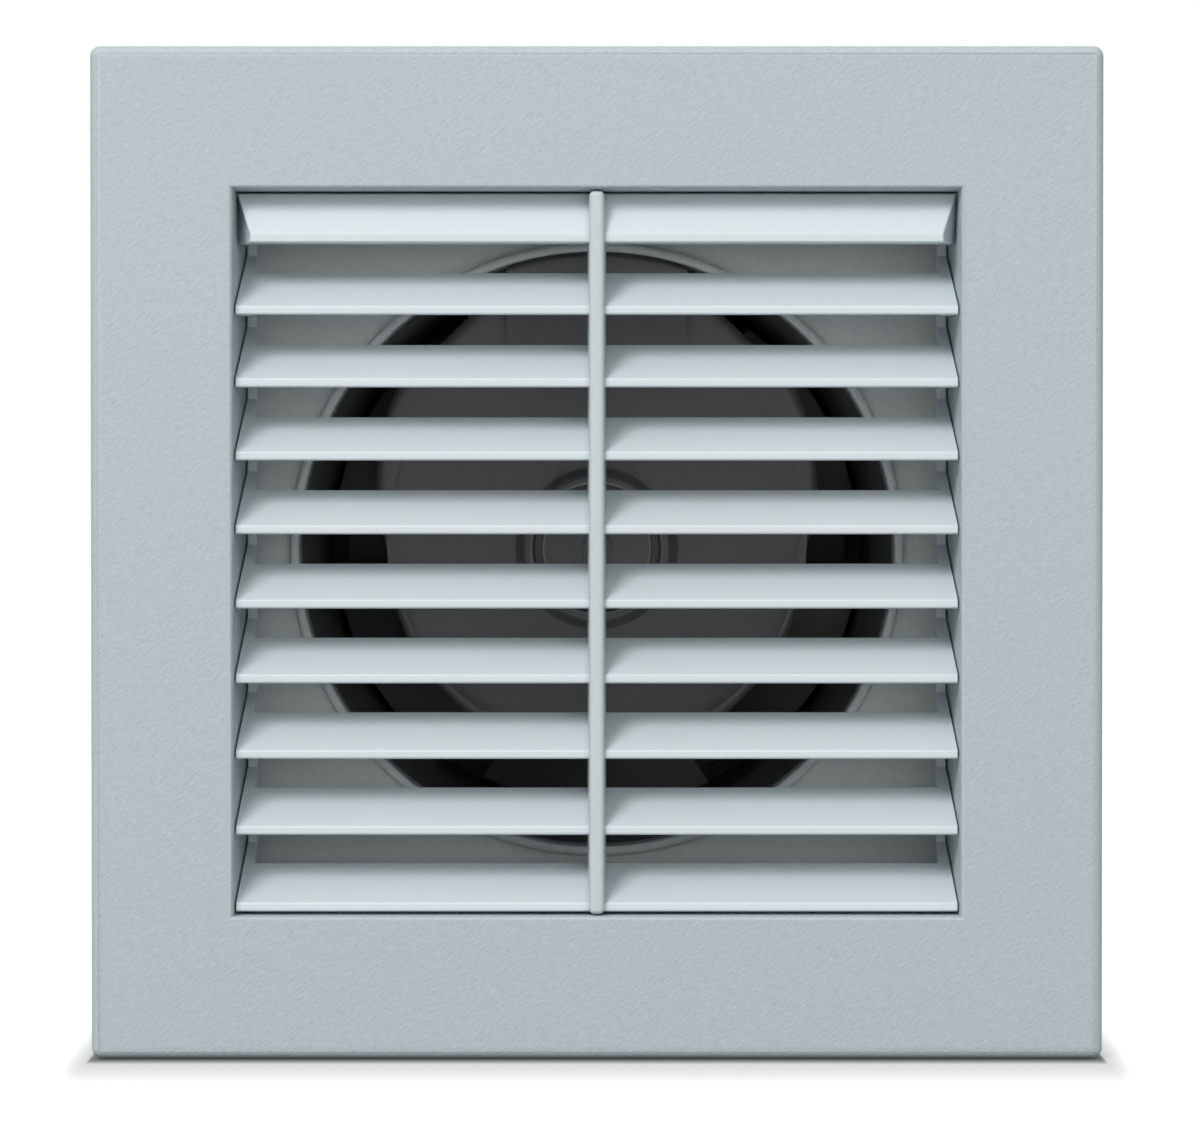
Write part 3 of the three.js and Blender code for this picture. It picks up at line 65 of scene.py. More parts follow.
# %% Camera
cover_low, cover_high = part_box("front_frame")
COVER_SIDE = cover_high.x - cover_low.x
COVER_FRONT = cover_low.y
PHOTO_WIDTH = 1200
PHOTO_HEIGHT = 1129
COVER_PIXELS = 1013.5  # width of the cover in the photograph
COVER_CENTRE = (596.8, 553.0)  # its middle there
CAMERA_DISTANCE = 0.985  # from the cover's front face
CAMERA_RISE = 20 * MM  # above the cover's middle, at which it looks

seen_width = PHOTO_WIDTH / COVER_PIXELS * COVER_SIDE
camera_data = bpy.data.cameras.new("camera")
camera_data.lens = camera_data.sensor_width * CAMERA_DISTANCE / seen_width
camera_data.shift_x = (PHOTO_WIDTH / 2 - COVER_CENTRE[0]) / PHOTO_WIDTH
camera_data.shift_y = -(PHOTO_HEIGHT / 2 - COVER_CENTRE[1]) / PHOTO_WIDTH
camera = bpy.data.objects.new("camera", camera_data)
camera.location = (0, COVER_FRONT - CAMERA_DISTANCE, (cover_low.z + cover_high.z) / 2 + CAMERA_RISE)
camera.rotation_euler = (math.pi / 2 - math.atan(CAMERA_RISE / CAMERA_DISTANCE), 0, 0)
bpy.context.scene.collection.objects.link(camera)
bpy.context.scene.camera = camera
print("camera lens", round(camera_data.lens, 1), "mm")

# %% [markdown]
# ## Shader arithmetic
# A finish is a small network of nodes. Written as node by node calls it is hard to read, so one class wraps
# an output socket and turns Python's operators into Math nodes, and one method adds any other node: its
# settings first, then the values or links of its inputs.


# %% Shader arithmetic
class Output:
    """An output of a node. Arithmetic on it adds Math nodes to the same material."""

    def __init__(self, finish, socket):
        self.finish = finish
        self.socket = socket

    def math(self, operation, *values):
        return self.finish.node("ShaderNodeMath", {"operation": operation}, *values)

    def __add__(self, other):
        return self.math("ADD", self, other)

    def __sub__(self, other):
        return self.math("SUBTRACT", self, other)

    def __mul__(self, other):
        return self.math("MULTIPLY", self, other)

    def __pow__(self, other):
        return self.math("POWER", self, other)

    def absolute(self):
        return self.math("ABSOLUTE", self)

    def at_least(self, low):
        return self.math("MAXIMUM", self, low)

    __radd__ = __add__


class Finish:
    """A material with a Principled shader, and the means to add nodes to it."""

    def __init__(self, name, color, roughness, metallic=0.0, **fixed):
        self.name = name
        self.material = bpy.data.materials.new(name)
        self.material.use_nodes = True
        self.nodes = self.material.node_tree.nodes
        self.links = self.material.node_tree.links
        self.shader = self.nodes["Principled BSDF"]
        self.color = color
        self.set("Base Color", (*color, 1))
        self.set("Roughness", roughness)
        self.set("Metallic", metallic)
        for socket, value in fixed.items():
            self.set(socket.replace("_", " "), value)

    def put(self, socket, value):
        if isinstance(value, Output):
            self.links.new(value.socket, socket)
        else:
            socket.default_value = value

    def set(self, socket, value):
        self.put(self.shader.inputs[socket], value)

    def node(self, kind, settings, *values, out=0, **named):
        """Adds a node: its settings, its inputs in order or by name, and the output that is wanted."""
        made = self.nodes.new(kind)
        for key, value in settings.items():
            setattr(made, key, value)
        for i, value in enumerate(values):
            self.put(made.inputs[i], value)
        for key, value in named.items():
            self.put(made.inputs[key.replace("_", " ")], value)
        return Output(self, made.outputs[out])

    def place(self, scale=(1, 1, 1), turn=(0, 0, 0), kind="POINT"):
        """Object coordinates, stretched and then turned. Kind TEXTURE does this to the pattern itself."""
        at = self.node("ShaderNodeTexCoord", {}, out="Object")
        return self.node("ShaderNodeMapping", {"vector_type": kind}, Vector=at, Rotation=turn, Scale=scale)

    def coordinate(self, axis):
        """One of the object coordinates: X, Y or Z."""
        return self.node("ShaderNodeSeparateXYZ", {}, self.place(), out=axis)

    def noise(self, scale, at, detail=2.0, rough=0.5, distort=0.0):
        named = {"Scale": scale, "Detail": detail, "Roughness": rough, "Distortion": distort}
        return self.node("ShaderNodeTexNoise", {}, Vector=at, **named)

    def stretch(self, value, low, high, new_low=0.0, new_high=1.0):
        """Maps a value from one range to another and keeps it inside."""
        return self.node("ShaderNodeMapRange", {}, value, low, high, new_low, new_high)

    def tint(self, amount):
        """Feeds Base Color with the finish's own colour times an amount around 1."""
        channels = [amount * channel for channel in self.color]
        self.set("Base Color", self.node("ShaderNodeCombineColor", {}, *channels))

    def bump(self, height, distance):
        self.set("Normal", self.node("ShaderNodeBump", {}, Height=height, Distance=distance))


print("shader helpers ready")

# %% [markdown]
# ## Mesh helpers
# Every new piece is shaped with bmesh operators and handed over by one function. It closes the seams, turns
# the faces outwards, marks the sharp edges, and gives the piece its body, its finish and the CAD nodes that
# it stands for. The forms of one moulding overlap a little where they join.


# %% Mesh helpers
SHARP_ANGLE = 38  # degrees between two faces, from which their edge is shaded as a crease
SAME_PLACE = MM / 1000  # vertices this near each other are one
NEAR = 0.01 * MM  # tolerance when edges are picked by their place
BITE = 0.5 * MM  # overlap of two forms that are one moulding


def box_between(bm, low, high):
    """Adds a box between two corners and returns its vertices."""
    verts = bmesh.ops.create_cube(bm, size=1)["verts"]
    low, high = Vector(low), Vector(high)
    bmesh.ops.scale(bm, vec=high - low, verts=verts)
    bmesh.ops.translate(bm, vec=(high + low) / 2, verts=verts)
    return verts


def edges_where(bm, test):
    """Edges whose two ends both pass a test."""
    return [e for e in bm.edges if test(e.verts[0].co) and test(e.verts[1].co)]


def soften(bm, edges, radius, segments=3):
    """Rounds edges."""
    bmesh.ops.bevel(
        bm,
        geom=edges,
        offset=radius,
        offset_type="OFFSET",
        segments=segments,
        profile=0.5,
        affect="EDGES",
        material=-1,
        clamp_overlap=True,
    )


def soften_sharp(bm, radius, segments=2, angle=40, faces=None):
    """Rounds every edge that turns by more than an angle."""
    limit = math.radians(angle)
    pool = bm.edges if faces is None else {e for f in faces for e in f.edges}
    sharp = [e for e in pool if len(e.link_faces) == 2 and e.calc_face_angle(0) > limit]
    soften(bm, sharp, radius, segments)


def faces_of(verts):
    return {f for v in verts if v.is_valid for f in v.link_faces}


def verts_in(geometry):
    return [g for g in geometry if isinstance(g, bmesh.types.BMVert)]


def turned(bm, profile, steps=128, centre=(0, 0, 0)):
    """Spins a closed profile of (radius, y) points about an axis along Y."""
    centre = Vector(centre)
    verts = [bm.verts.new(centre + Vector((r, y, 0))) for r, y in profile]
    edges = [bm.edges.new((a, b)) for a, b in zip(verts, verts[1:] + verts[:1])]
    bmesh.ops.spin(
        bm,
        geom=verts + edges,
        cent=centre,
        axis=(0, 1, 0),
        angle=2 * math.pi,
        steps=steps,
        use_merge=True,
    )


def slab(bm, outline, depth):
    """A flat outline, as points, pushed along a vector into a solid. Returns its faces."""
    verts = [bm.verts.new(p) for p in outline]
    face = bm.faces.new(verts)
    moved = verts_in(bmesh.ops.extrude_face_region(bm, geom=[face])["geom"])
    bmesh.ops.translate(bm, vec=depth, verts=moved)
    return faces_of([*moved, *verts])


def rod(bm, radius, start, end):
    """A round bar between two points. Returns its vertices."""
    start, end = Vector(start), Vector(end)
    along = end - start
    turn = Vector((0, 0, 1)).rotation_difference(along).to_matrix().to_4x4()
    return bmesh.ops.create_cone(
        bm,
        cap_ends=True,
        segments=32,
        radius1=radius,
        radius2=radius,
        depth=along.length,
        matrix=Matrix.Translation((start + end) / 2) @ turn,
    )["verts"]


def shade(mesh, finish):
    """Smooth shading, and the finish."""
    mesh.polygons.foreach_set("use_smooth", [True] * len(mesh.polygons))
    mesh.materials.clear()
    mesh.materials.append(finish.material)


def keep(bm, name, body, finish, *replaced, sharp=SHARP_ANGLE):
    """Turns a bmesh into a piece that rides on a body and stands for CAD nodes."""
    bmesh.ops.remove_doubles(bm, verts=bm.verts, dist=SAME_PLACE)
    bmesh.ops.recalc_face_normals(bm, faces=bm.faces)
    mesh = bpy.data.meshes.new(name)
    bm.to_mesh(mesh)
    bm.free()
    shade(mesh, finish)
    mesh.set_sharp_from_angle(angle=math.radians(sharp))
    piece = bpy.data.objects.new(name, mesh)
    bpy.context.scene.collection.objects.link(piece)
    piece.modifiers.new("even shading", "WEIGHTED_NORMAL").keep_sharp = True
    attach(piece, body)
    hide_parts(*replaced)
    print(name, sum(len(p.vertices) - 2 for p in mesh.polygons), "triangles")


# %% [markdown]
# ## Finishes
# The cover and the tray are moulded in a pale blue-grey plastic with a fine leather grain. The grain is a
# noise stretched along a slant, and it moves the surface by a few hundredths of a millimetre; its pores are
# also darkened in the colour as painted shade. The louvre has the same colour but a smooth skin, and its
# middle bar is greyed with painted shade. The duct and the motor pod are dark grey with a matt spark finish,
# and two thin lines on the pod's hub are painted highlights.


# %% Grained plastic
PORE_PAINTED_SHADE = 14  # how much the grain's pores are darkened as painted shade, against the slow drift of the colour
GRAIN_SLANT = math.radians(48)
HIGHLIGHT_RIM_WIDTH = 0.16 * MM  # half the width of a painted highlight line
RIM_HIGHLIGHT_GAIN = 2.4  # and how much the painted highlight lightens the colour
HUB_HIGHLIGHT_RIMS = (9.0 * MM, 11.15 * MM)  # radii of the painted highlight lines on the rings of the motor pod's hub


def grained(name, color, roughness, grain, depth, mottle=0.03, length=2.6, highlight_rims=()):
    """Moulded plastic with a slanted leather grain, whose size and depth are in millimetres.

    Highlight rims are radii about the fan axis where a thin line of the colour is lightened as a painted
    highlight on the hub's ring edges.
    """
    made = Finish(name, color, roughness, IOR=1.46)
    slanted = made.place(scale=(1, 1, length), turn=(0, GRAIN_SLANT, 0), kind="TEXTURE")
    cells = made.noise(1 / (grain * MM), slanted, detail=3.0, rough=0.6, distort=0.35)
    pores = made.noise(2.6 / (grain * MM), slanted, detail=1.0)
    height = cells * 0.75 + pores * 0.25
    drift = made.noise(14.0, made.place(), detail=3.0)
    # painted shade: the colour is darkened where the grain's relief is low, as shade in its pores; the slow
    # drift is the plastic's own tone
    amount = 1 - mottle / 2 + drift * mottle + (height - 0.5) * mottle * PORE_PAINTED_SHADE
    # painted highlight: thin rings about the fan axis are lightened in colour, standing in for light caught
    # by the edges of the hub's rings
    for rim in highlight_rims:
        flat = made.place(scale=(1, 0, 1))
        radius = made.node("ShaderNodeVectorMath", {"operation": "LENGTH"}, flat, out="Value")
        amount = amount * made.stretch((radius - rim).absolute(), 0.0, HIGHLIGHT_RIM_WIDTH, RIM_HIGHLIGHT_GAIN, 1.0)
    made.tint(amount)
    made.set("Roughness", roughness - 0.05 + cells * 0.1)
    made.bump(height, depth * MM)
    return made


frame_plastic = grained("frame_plastic", (0.461, 0.532, 0.556), 0.56, grain=0.5, depth=0.12)
body_plastic = grained("body_plastic", (0.76, 0.775, 0.755), 0.6, grain=0.5, depth=0.1)
even = {"mottle": 0.05, "length": 1.0}
fan_grey = (0.125, 0.126, 0.122)
fan_plastic = grained("fan_plastic", fan_grey, 0.4, grain=0.3, depth=0.015, highlight_rims=HUB_HIGHLIGHT_RIMS, **even)
flap_plastic = grained("flap_plastic", (0.03, 0.032, 0.034), 0.45, grain=0.4, depth=0.01, **even)


# %% Smooth louvre plastic
BAR_SHADE_FADE = (1.3 * MM, 2.2 * MM)  # the bar's painted shade ends between these distances from the middle
FINE_RELIEF = 0.004 * MM  # height of a skin that only blurs the highlights


def smooth_plastic(name, color, roughness, mottle=0.02, bar=0.0):
    """Nearly smooth moulded plastic with faint flow marks. A bar in the middle can be greyed with painted
    shade.
    """
    made = Finish(name, color, roughness, IOR=1.47)
    # painted shade: the middle bar's colour is darkened by the share bar, standing in for its shading under
    # light from above
    beside = made.stretch(made.coordinate("X").absolute(), *BAR_SHADE_FADE, 1 - bar, 1.0)
    drift = made.noise(30.0, made.place(), detail=4.0)
    skin = made.noise(900.0, made.place(), detail=2.0)
    made.tint((1 - mottle / 2 + drift * mottle) * beside)
    made.set("Roughness", roughness - 0.04 + skin * 0.08)
    made.bump(skin, FINE_RELIEF)
    return made


# bar=0.16 is painted shade that greys the louvre's middle bar
louvre_plastic = smooth_plastic("louvre_plastic", (0.675, 0.745, 0.77), 0.42, bar=0.16)
terminal_plastic = smooth_plastic("terminal_plastic", (0.79, 0.79, 0.76), 0.4)
bobbin_plastic = smooth_plastic("bobbin_plastic", (0.81, 0.77, 0.68), 0.5)


# %% Metals, rubber and foam
def metal(name, color, roughness, streak=(1, 1, 1), scale=400.0):
    """Bare or plated metal with fine streaks, drawn out along an axis by the streak's scale."""
    made = Finish(name, color, roughness, metallic=1.0)
    marks = made.noise(scale, made.place(scale=streak), detail=3.0)
    made.tint(0.85 + marks * 0.3)
    made.set("Roughness", roughness - 0.1 + marks * 0.2)
    made.bump(marks, FINE_RELIEF)
    return made


core_steel = metal("core_steel", (0.30, 0.31, 0.33), 0.45, streak=(0.05, 6, 0.05))
bracket_steel = metal("bracket_steel", (0.52, 0.54, 0.55), 0.35, streak=(0.1, 1, 1))
shaft_steel = metal("shaft_steel", (0.60, 0.61, 0.62), 0.25, streak=(1, 4, 1))
bronze = metal("bronze", (0.46, 0.28, 0.10), 0.42)
copper = metal("copper", (0.42, 0.12, 0.04), 0.35, streak=(6, 0.1, 0.1))
screw_zinc = metal("screw_zinc", (0.56, 0.57, 0.55), 0.33)


def soft_finish(name, color, roughness, cell, depth):
    """Rubber or foam: matt, with small cells."""
    made = Finish(name, color, roughness)
    cells = made.node("ShaderNodeTexVoronoi", {}, Vector=made.place(), Scale=1 / (cell * MM))
    made.tint(0.8 + cells * 0.4)
    made.set("Roughness", roughness - 0.05 + cells * 0.05)
    made.bump(cells, depth * MM)
    return made


black_rubber = soft_finish("black_rubber", (0.016, 0.017, 0.018), 0.8, cell=0.5, depth=0.01)
grey_foam = soft_finish("grey_foam", (0.10, 0.105, 0.11), 0.95, cell=0.9, depth=0.15)
print("finishes", [m.name for m in bpy.data.materials])

# %% [markdown]
# ## Front frame
# The cover is one moulding: a flat square front with rolled edges, a deep skirt behind it, and an opening
# lined with four walls that lean in. It starts as a box. The front face is inset to the opening and pushed
# back, the rear is left open, the sheet gets its wall thickness, and only then are the edges rolled, so
# that the inside stays clean. Thin ribs stiffen the cover, and two hooks hold it at the top of the tray.

# %% Front frame
BORDER = 23.15 * MM
COVER_WALL = 2.2 * MM
OPENING_DEPTH = 25 * MM
OPENING_DRAFT = 1.2 * MM
CORNER_RADIUS = 1.6 * MM
EDGE_ROLL = 1.2 * MM
LIP_ROLL = 0.6 * MM
HALF = COVER_SIDE / 2
OPENING = HALF - BORDER
RIB_HALF = 0.8 * MM
COVER_RIBS = 38 * MM  # how far the cover's ribs stand from the middle
COVER_RIB_DEPTHS = (COVER_FRONT + 2 * MM, COVER_FRONT + 11 * MM)
COVER_RIB_GAP = 1.5 * MM  # where a rib starts, behind the face of the opening's wall
HOOK_PLACE = 45 * MM
HOOK_HALF = 5 * MM
HOOK_DEPTHS = (-9 * MM, -7 * MM)
HOOK_REACH = 1.1 * MM


def outermost(co):
    """How far a point lies from the fan axis, measured square."""
    return max(abs(co.x), abs(co.z))


def ribs(bm, place, reach, depths):
    """Two ribs on each side of the square, at a place to either side of the middle."""
    for side in (-1, 1):
        along = sorted((side * reach[0], side * reach[1]))
        for offset in (-place, place):
            across = (offset - RIB_HALF, offset + RIB_HALF)
            for x, z in ((across, along), (along, across)):
                box_between(bm, (x[0], depths[0], z[0]), (x[1], depths[1], z[1]))


def make_front_frame():
    bm = bmesh.new()
    box_between(bm, cover_low, cover_high)
    front = min(bm.faces, key=lambda f: f.calc_center_median().y)
    rear = max(bm.faces, key=lambda f: f.calc_center_median().y)
    bmesh.ops.delete(bm, geom=[rear], context="FACES_ONLY")
    bmesh.ops.inset_region(bm, faces=[front], thickness=BORDER, use_even_offset=True)
    rim = verts_in(bmesh.ops.extrude_edge_only(bm, edges=front.edges[:])["geom"])
    bmesh.ops.translate(bm, vec=(0, OPENING_DEPTH, 0), verts=rim)
    lean = (OPENING - OPENING_DRAFT) / OPENING
    bmesh.ops.scale(bm, vec=(lean, 1, lean), verts=rim)
    bmesh.ops.delete(bm, geom=[front], context="FACES_ONLY")
    bmesh.ops.recalc_face_normals(bm, faces=bm.faces)
    bmesh.ops.solidify(bm, geom=bm.faces[:], thickness=COVER_WALL)
    at_corner = lambda co: abs(abs(co.x) - HALF) < NEAR and abs(abs(co.z) - HALF) < NEAR
    soften(bm, edges_where(bm, at_corner), CORNER_RADIUS, 6)
    at_edge = lambda co: abs(co.y - COVER_FRONT) < NEAR and outermost(co) > HALF - CORNER_RADIUS
    soften(bm, edges_where(bm, at_edge), EDGE_ROLL, 6)
    at_lip = lambda co: abs(co.y - COVER_FRONT) < NEAR and abs(outermost(co) - OPENING) < NEAR
    soften(bm, edges_where(bm, at_lip), LIP_ROLL, 5)
    skirt = HALF - COVER_WALL
    ribs(bm, COVER_RIBS, (OPENING + COVER_RIB_GAP, skirt + BITE), COVER_RIB_DEPTHS)
    for x in (-HOOK_PLACE, HOOK_PLACE):
        low = (x - HOOK_HALF, HOOK_DEPTHS[0], skirt - HOOK_REACH)
        box_between(bm, low, (x + HOOK_HALF, HOOK_DEPTHS[1], skirt + BITE))
    keep(bm, "front_frame_skin", "housing", frame_plastic, "front_frame")


make_front_frame()

# %% [markdown]
# ## Louvre
# The first slat is a wedge that closes the gap up to the opening's ceiling, wider at its back than at its
# nose. The other nine slope up and back from a rolled nose. Their ends run into two end plates whose front
# edge is cut like a saw, one tooth to a slat, and each tooth carries on above its slat as an ear. A tapered
# bar ties the slats together in the middle. Slats and plates are outlines pushed along X that share the
# nose's curve.

# %% Louvre sizes
SLATS = 10
SLAT_DEPTH = 12 * MM
SLAT_RISE = 7.1 * MM
SLAT_NOSE = 1.4 * MM
SLAT_THICKNESS = 1.3 * MM
NOSE_ROLL = 0.42 * MM
HEADER_HEIGHT = 8.8 * MM
HEADER_DEPTH = 8 * MM
HEADER_INSET = 2.4 * MM
HEADER_RIDGE = 4 * MM
HEADER_ROLL = 0.35 * MM
FOOT_GAP = 0.7 * MM
TOOTH_DEPTH = 18.5 * MM
TOOTH_ROLL = 0.2 * MM
END_INSIDE = 56.5 * MM
END_STRIP = 3.0 * MM
CLEARANCE = 0.3 * MM
BAR_HALF = 1.2 * MM
BAR_SPREAD = 3.1 / 2.4  # the bar's width behind the noses, as a share of its width in front
BAR_AHEAD = 1.4 * MM
BAR_DEPTH = 14 * MM
BAR_ROLL = 0.8 * MM
BAR_SIDE_ROLL = 0.3 * MM  # on the slats' noses, beside the bar
REAR_BEVEL = 0.1 * MM
REAR_DROP = 0.2 * MM
SNAP_PLACE = 31 * MM
SNAP_HALF = 4.5 * MM
SNAP_THICKNESS = 1 * MM
SNAP_INSET = 1.1 * MM
SNAP_REACH = 1.1 * MM
PITCH_DRIFT = 0.05 * MM
NOSE = COVER_FRONT + 2.2 * MM
LOUVRE_HALF = OPENING - 0.4 * MM
LOUVRE_LEAN = 1.05 * MM
PITCH = (2 * OPENING - HEADER_HEIGHT - FOOT_GAP) / (SLATS - 1)
SLOPE = (SLAT_RISE - SLAT_NOSE) / SLAT_DEPTH


def slat_z(k):
    """The foot of a slat. The gaps widen a little from the top one down, as in the photograph."""
    return OPENING - HEADER_HEIGHT - k * PITCH + PITCH_DRIFT * k * (SLATS - 1 - k)


def lean_in(y):
    return LOUVRE_LEAN * (y - NOSE) / (TOOTH_DEPTH + END_STRIP)


def ceiling(y):
    return OPENING - OPENING_DRAFT * (y - COVER_FRONT) / OPENING_DEPTH - CLEARANCE


def nose_curve(z, slope, steps=5):
    """The rolled nose as (y, z) points, from underneath up to where the slope starts."""
    tilt = math.atan(slope)
    high = z + SLAT_NOSE + slope * NOSE_ROLL - NOSE_ROLL / math.cos(tilt)
    points = []
    for centre, start, end in ((z + NOSE_ROLL, 270, 180), (high, 180, 90 + math.degrees(tilt))):
        for i in range(steps + 1):
            angle = math.radians(start + (end - start) * i / steps)
            points.append((NOSE + NOSE_ROLL * (1 + math.cos(angle)), centre + NOSE_ROLL * math.sin(angle)))
    return points


print("slat pitch", round(PITCH / MM, 2), "mm")


# %% Louvre
def make_half_slat(bm, k, side):
    """One half of a slat, between the bar and an end plate."""
    z = slat_z(k)
    rear = NOSE + SLAT_DEPTH
    section = nose_curve(z, SLOPE) + [
        (rear - REAR_BEVEL, z + SLAT_RISE - SLOPE * REAR_BEVEL),
        (rear, z + SLAT_RISE - REAR_DROP),
        (rear, z + SLAT_RISE - SLAT_THICKNESS),
        (NOSE + SLAT_THICKNESS, z),
    ]
    inner = side * BAR_HALF
    outer = side * END_INSIDE
    faces = slab(bm, [(inner, y, z) for y, z in section], (outer - inner, 0, 0))
    beside_bar = [
        e
        for e in {e for f in faces for e in f.edges}
        if all(abs(v.co.x - inner) < NEAR and v.co.y < NOSE + NOSE_ROLL for v in e.verts)
    ]
    soften(bm, beside_bar, BAR_SIDE_ROLL)


def make_header(bm):
    """The first slat: a steep front up to a ridge under the ceiling, and a flat top behind it."""
    foot = slat_z(0)
    ridge = NOSE + HEADER_RIDGE
    back = NOSE + HEADER_DEPTH
    slope = (ceiling(ridge) - foot - SLAT_NOSE) / HEADER_RIDGE
    section = nose_curve(foot, slope) + [(ridge, ceiling(ridge)), (back, ceiling(back)), (back, foot)]
    faces = slab(bm, [(-HALF, y, z) for y, z in section], (2 * HALF, 0, 0))
    nose_half = LOUVRE_HALF - HEADER_INSET
    full_half = ceiling(ridge) + CLEARANCE / 2
    for v in {v for f in faces for v in f.verts}:
        share = min(1, (v.co.y - NOSE) / HEADER_RIDGE)
        v.co.x = math.copysign(nose_half + share * (full_half - nose_half), v.co.x)
    ends = [
        e
        for e in {e for f in faces for e in f.edges}
        if e.verts[0].co.x * e.verts[1].co.x > 0
        and max(v.co.z for v in e.verts) > foot + NEAR
        and min(v.co.y for v in e.verts) < ridge - NEAR
    ]
    ridges = edges_where(bm, lambda co: abs(co.y - ridge) < NEAR and co.z > foot + SLAT_NOSE)
    soften(bm, ends + [e for e in ridges if e not in ends], HEADER_ROLL, 4)


def make_end_plate(bm, side):
    """A saw-toothed plate at one end of the slats; its outside leans in with the opening's wall."""
    root = NOSE + TOOTH_DEPTH
    back = NOSE + HEADER_DEPTH - 1 * MM
    outline = [(back, ceiling(root)), (back, slat_z(0))]
    for k in range(1, SLATS):
        tip = slat_z(k) + SLAT_NOSE + SLOPE * TOOTH_DEPTH
        outline += [(root, slat_z(k - 1)), (root, tip - REAR_DROP), (root - REAR_DROP, tip - REAR_DROP / 2)]
        outline += reversed(nose_curve(slat_z(k), SLOPE))
    outline += [(root + END_STRIP, slat_z(SLATS - 1)), (root + END_STRIP, ceiling(root + END_STRIP))]
    x = side * LOUVRE_HALF
    faces = slab(bm, [(x, y, z) for y, z in outline], (side * END_INSIDE - x, 0, 0))
    for v in {v for f in faces for v in f.verts}:
        if abs(v.co.x) > END_INSIDE + NEAR:
            v.co.x -= side * lean_in(v.co.y)
    outer = [
        e
        for e in {e for f in faces for e in f.edges}
        if all(abs(abs(v.co.x) + lean_in(v.co.y) - LOUVRE_HALF) < NEAR for v in e.verts)
        and max(v.co.y for v in e.verts) < root + NEAR
    ]
    soften(bm, outer, TOOTH_ROLL, 2)


def make_snap(bm, side, z):
    """A tongue behind an end plate, with a hook that goes over the rear of the opening's wall."""
    tongue = side * (LOUVRE_HALF - LOUVRE_LEAN - SNAP_INSET)
    hook = side * (OPENING - OPENING_DRAFT + SNAP_REACH)
    rear = COVER_FRONT + OPENING_DEPTH + CLEARANCE
    front = NOSE + TOOTH_DEPTH + 2 * BITE
    for end, start in ((tongue + side * SNAP_THICKNESS, front), (hook, rear)):
        x = sorted((tongue, end))
        box_between(bm, (x[0], start, z - SNAP_HALF), (x[1], rear + SNAP_THICKNESS, z + SNAP_HALF))


def make_louvre():
    bm = bmesh.new()
    make_header(bm)
    for side in (-1, 1):
        make_end_plate(bm, side)
        for k in range(1, SLATS):
            make_half_slat(bm, k, side)
    bar_front = NOSE - BAR_AHEAD
    bar = box_between(bm, (-BAR_HALF, bar_front, -OPENING), (BAR_HALF, bar_front + BAR_DEPTH, OPENING))
    for v in bar:
        v.co.z = math.copysign(ceiling(v.co.y), v.co.z)
        if v.co.y > NOSE:
            v.co.x *= BAR_SPREAD
    soften_sharp(bm, BAR_ROLL, 6, faces=faces_of(bar))
    for side in (-1, 1):
        for z in (-SNAP_PLACE, SNAP_PLACE):
            make_snap(bm, side, z)
    keep(bm, "louvre_skin", "housing", louvre_plastic, "louvre_grille")


make_louvre()

# %% [markdown]
# ## Mounting tray
# A flat floor with holes is filled between its outer and inner loops and pushed into a plate. The rim, the
# lip round the mouth, the pads behind the fixing holes, the ribs, the boss for the cover's screw and the
# posts of the terminal block are added to the same moulding.

# %% Mounting tray
RIM_OUTER = 79.8 * MM
RIM_DEPTH = 15 * MM
FLOOR_FRONT = -9.5 * MM
FLOOR_REAR = -6.5 * MM
MOUTH = 50 * MM
LIP_WIDTH = 1.6 * MM
LIP_HEIGHT = 1.2 * MM
RIM_WALL = 2 * MM
FIXING = 68 * MM
FIXING_HOLE = 2.3 * MM
PAD_HALF = 8 * MM
CABLE_HOLE = (-42 * MM, 68.4 * MM)
CABLE_HOLE_RADIUS = 5.5 * MM
TRAY_RIBS = 21 * MM
TRAY_RIB_START = 71 * MM
TRAY_RIB_REAR = -1 * MM
BOSS_PLACE = (0, -7 * MM, -RIM_OUTER + 1.5 * MM)
BOSS_RADIUS = 4.2 * MM
BOSS_LENGTH = 7.5 * MM
POST_X = -33 * MM
POST_SPREAD = 4.8 * MM
POST_RADIUS = 2.2 * MM
POST_HEIGHT = 4.5 * MM


def circle(radius, centre=(0, 0), count=128):
    """Points of a circle in X and Z."""
    x, z = centre
    angles = [2 * math.pi / count * i for i in range(count)]
    return [(x + radius * math.cos(a), z + radius * math.sin(a)) for a in angles]


def rounded(corners, radius, steps=6):
    """A polygon in X and Z with its corners rounded."""
    points = []
    for i, corner in enumerate(corners):
        here = Vector(corner)
        before = (Vector(corners[i - 1]) - here).normalized() * radius
        after = (Vector(corners[(i + 1) % len(corners)]) - here).normalized() * radius
        for j in range(steps + 1):
            t = j / steps
            points.append(tuple(here + before * (1 - t) ** 2 + after * t**2))
    return points


def square(half, radius=1.6 * MM, centre=(0, 0)):
    x, z = centre
    corners = [(x - half, z - half), (x + half, z - half), (x + half, z + half), (x - half, z + half)]
    return rounded(corners, radius)


def plate(bm, loops, front, back):
    """A plate between two depths. The first loop is its outline and the others are holes."""
    edges = []
    for loop in loops:
        verts = [bm.verts.new((x, front, z)) for x, z in loop]
        edges += [bm.edges.new((a, b)) for a, b in zip(verts, verts[1:] + verts[:1])]
    filled = bmesh.ops.triangle_fill(bm, edges=edges, use_beauty=True)["geom"]
    faces = [g for g in filled if isinstance(g, bmesh.types.BMFace)]
    moved = verts_in(bmesh.ops.extrude_face_region(bm, geom=faces)["geom"])
    bmesh.ops.translate(bm, vec=(0, back - front, 0), verts=moved)


def half_round(start, width, top, height, base):
    """The profile of a rounded lip, as points from its inside over the top to its outside."""
    points = [(start, base)]
    for i in range(9):
        angle = math.pi * i / 8
        across = width / 2 * (1 - math.cos(angle))
        points.append((start + across, top + height / 2 * (1 - math.sin(angle))))
    return [*points, (start + width, base)]


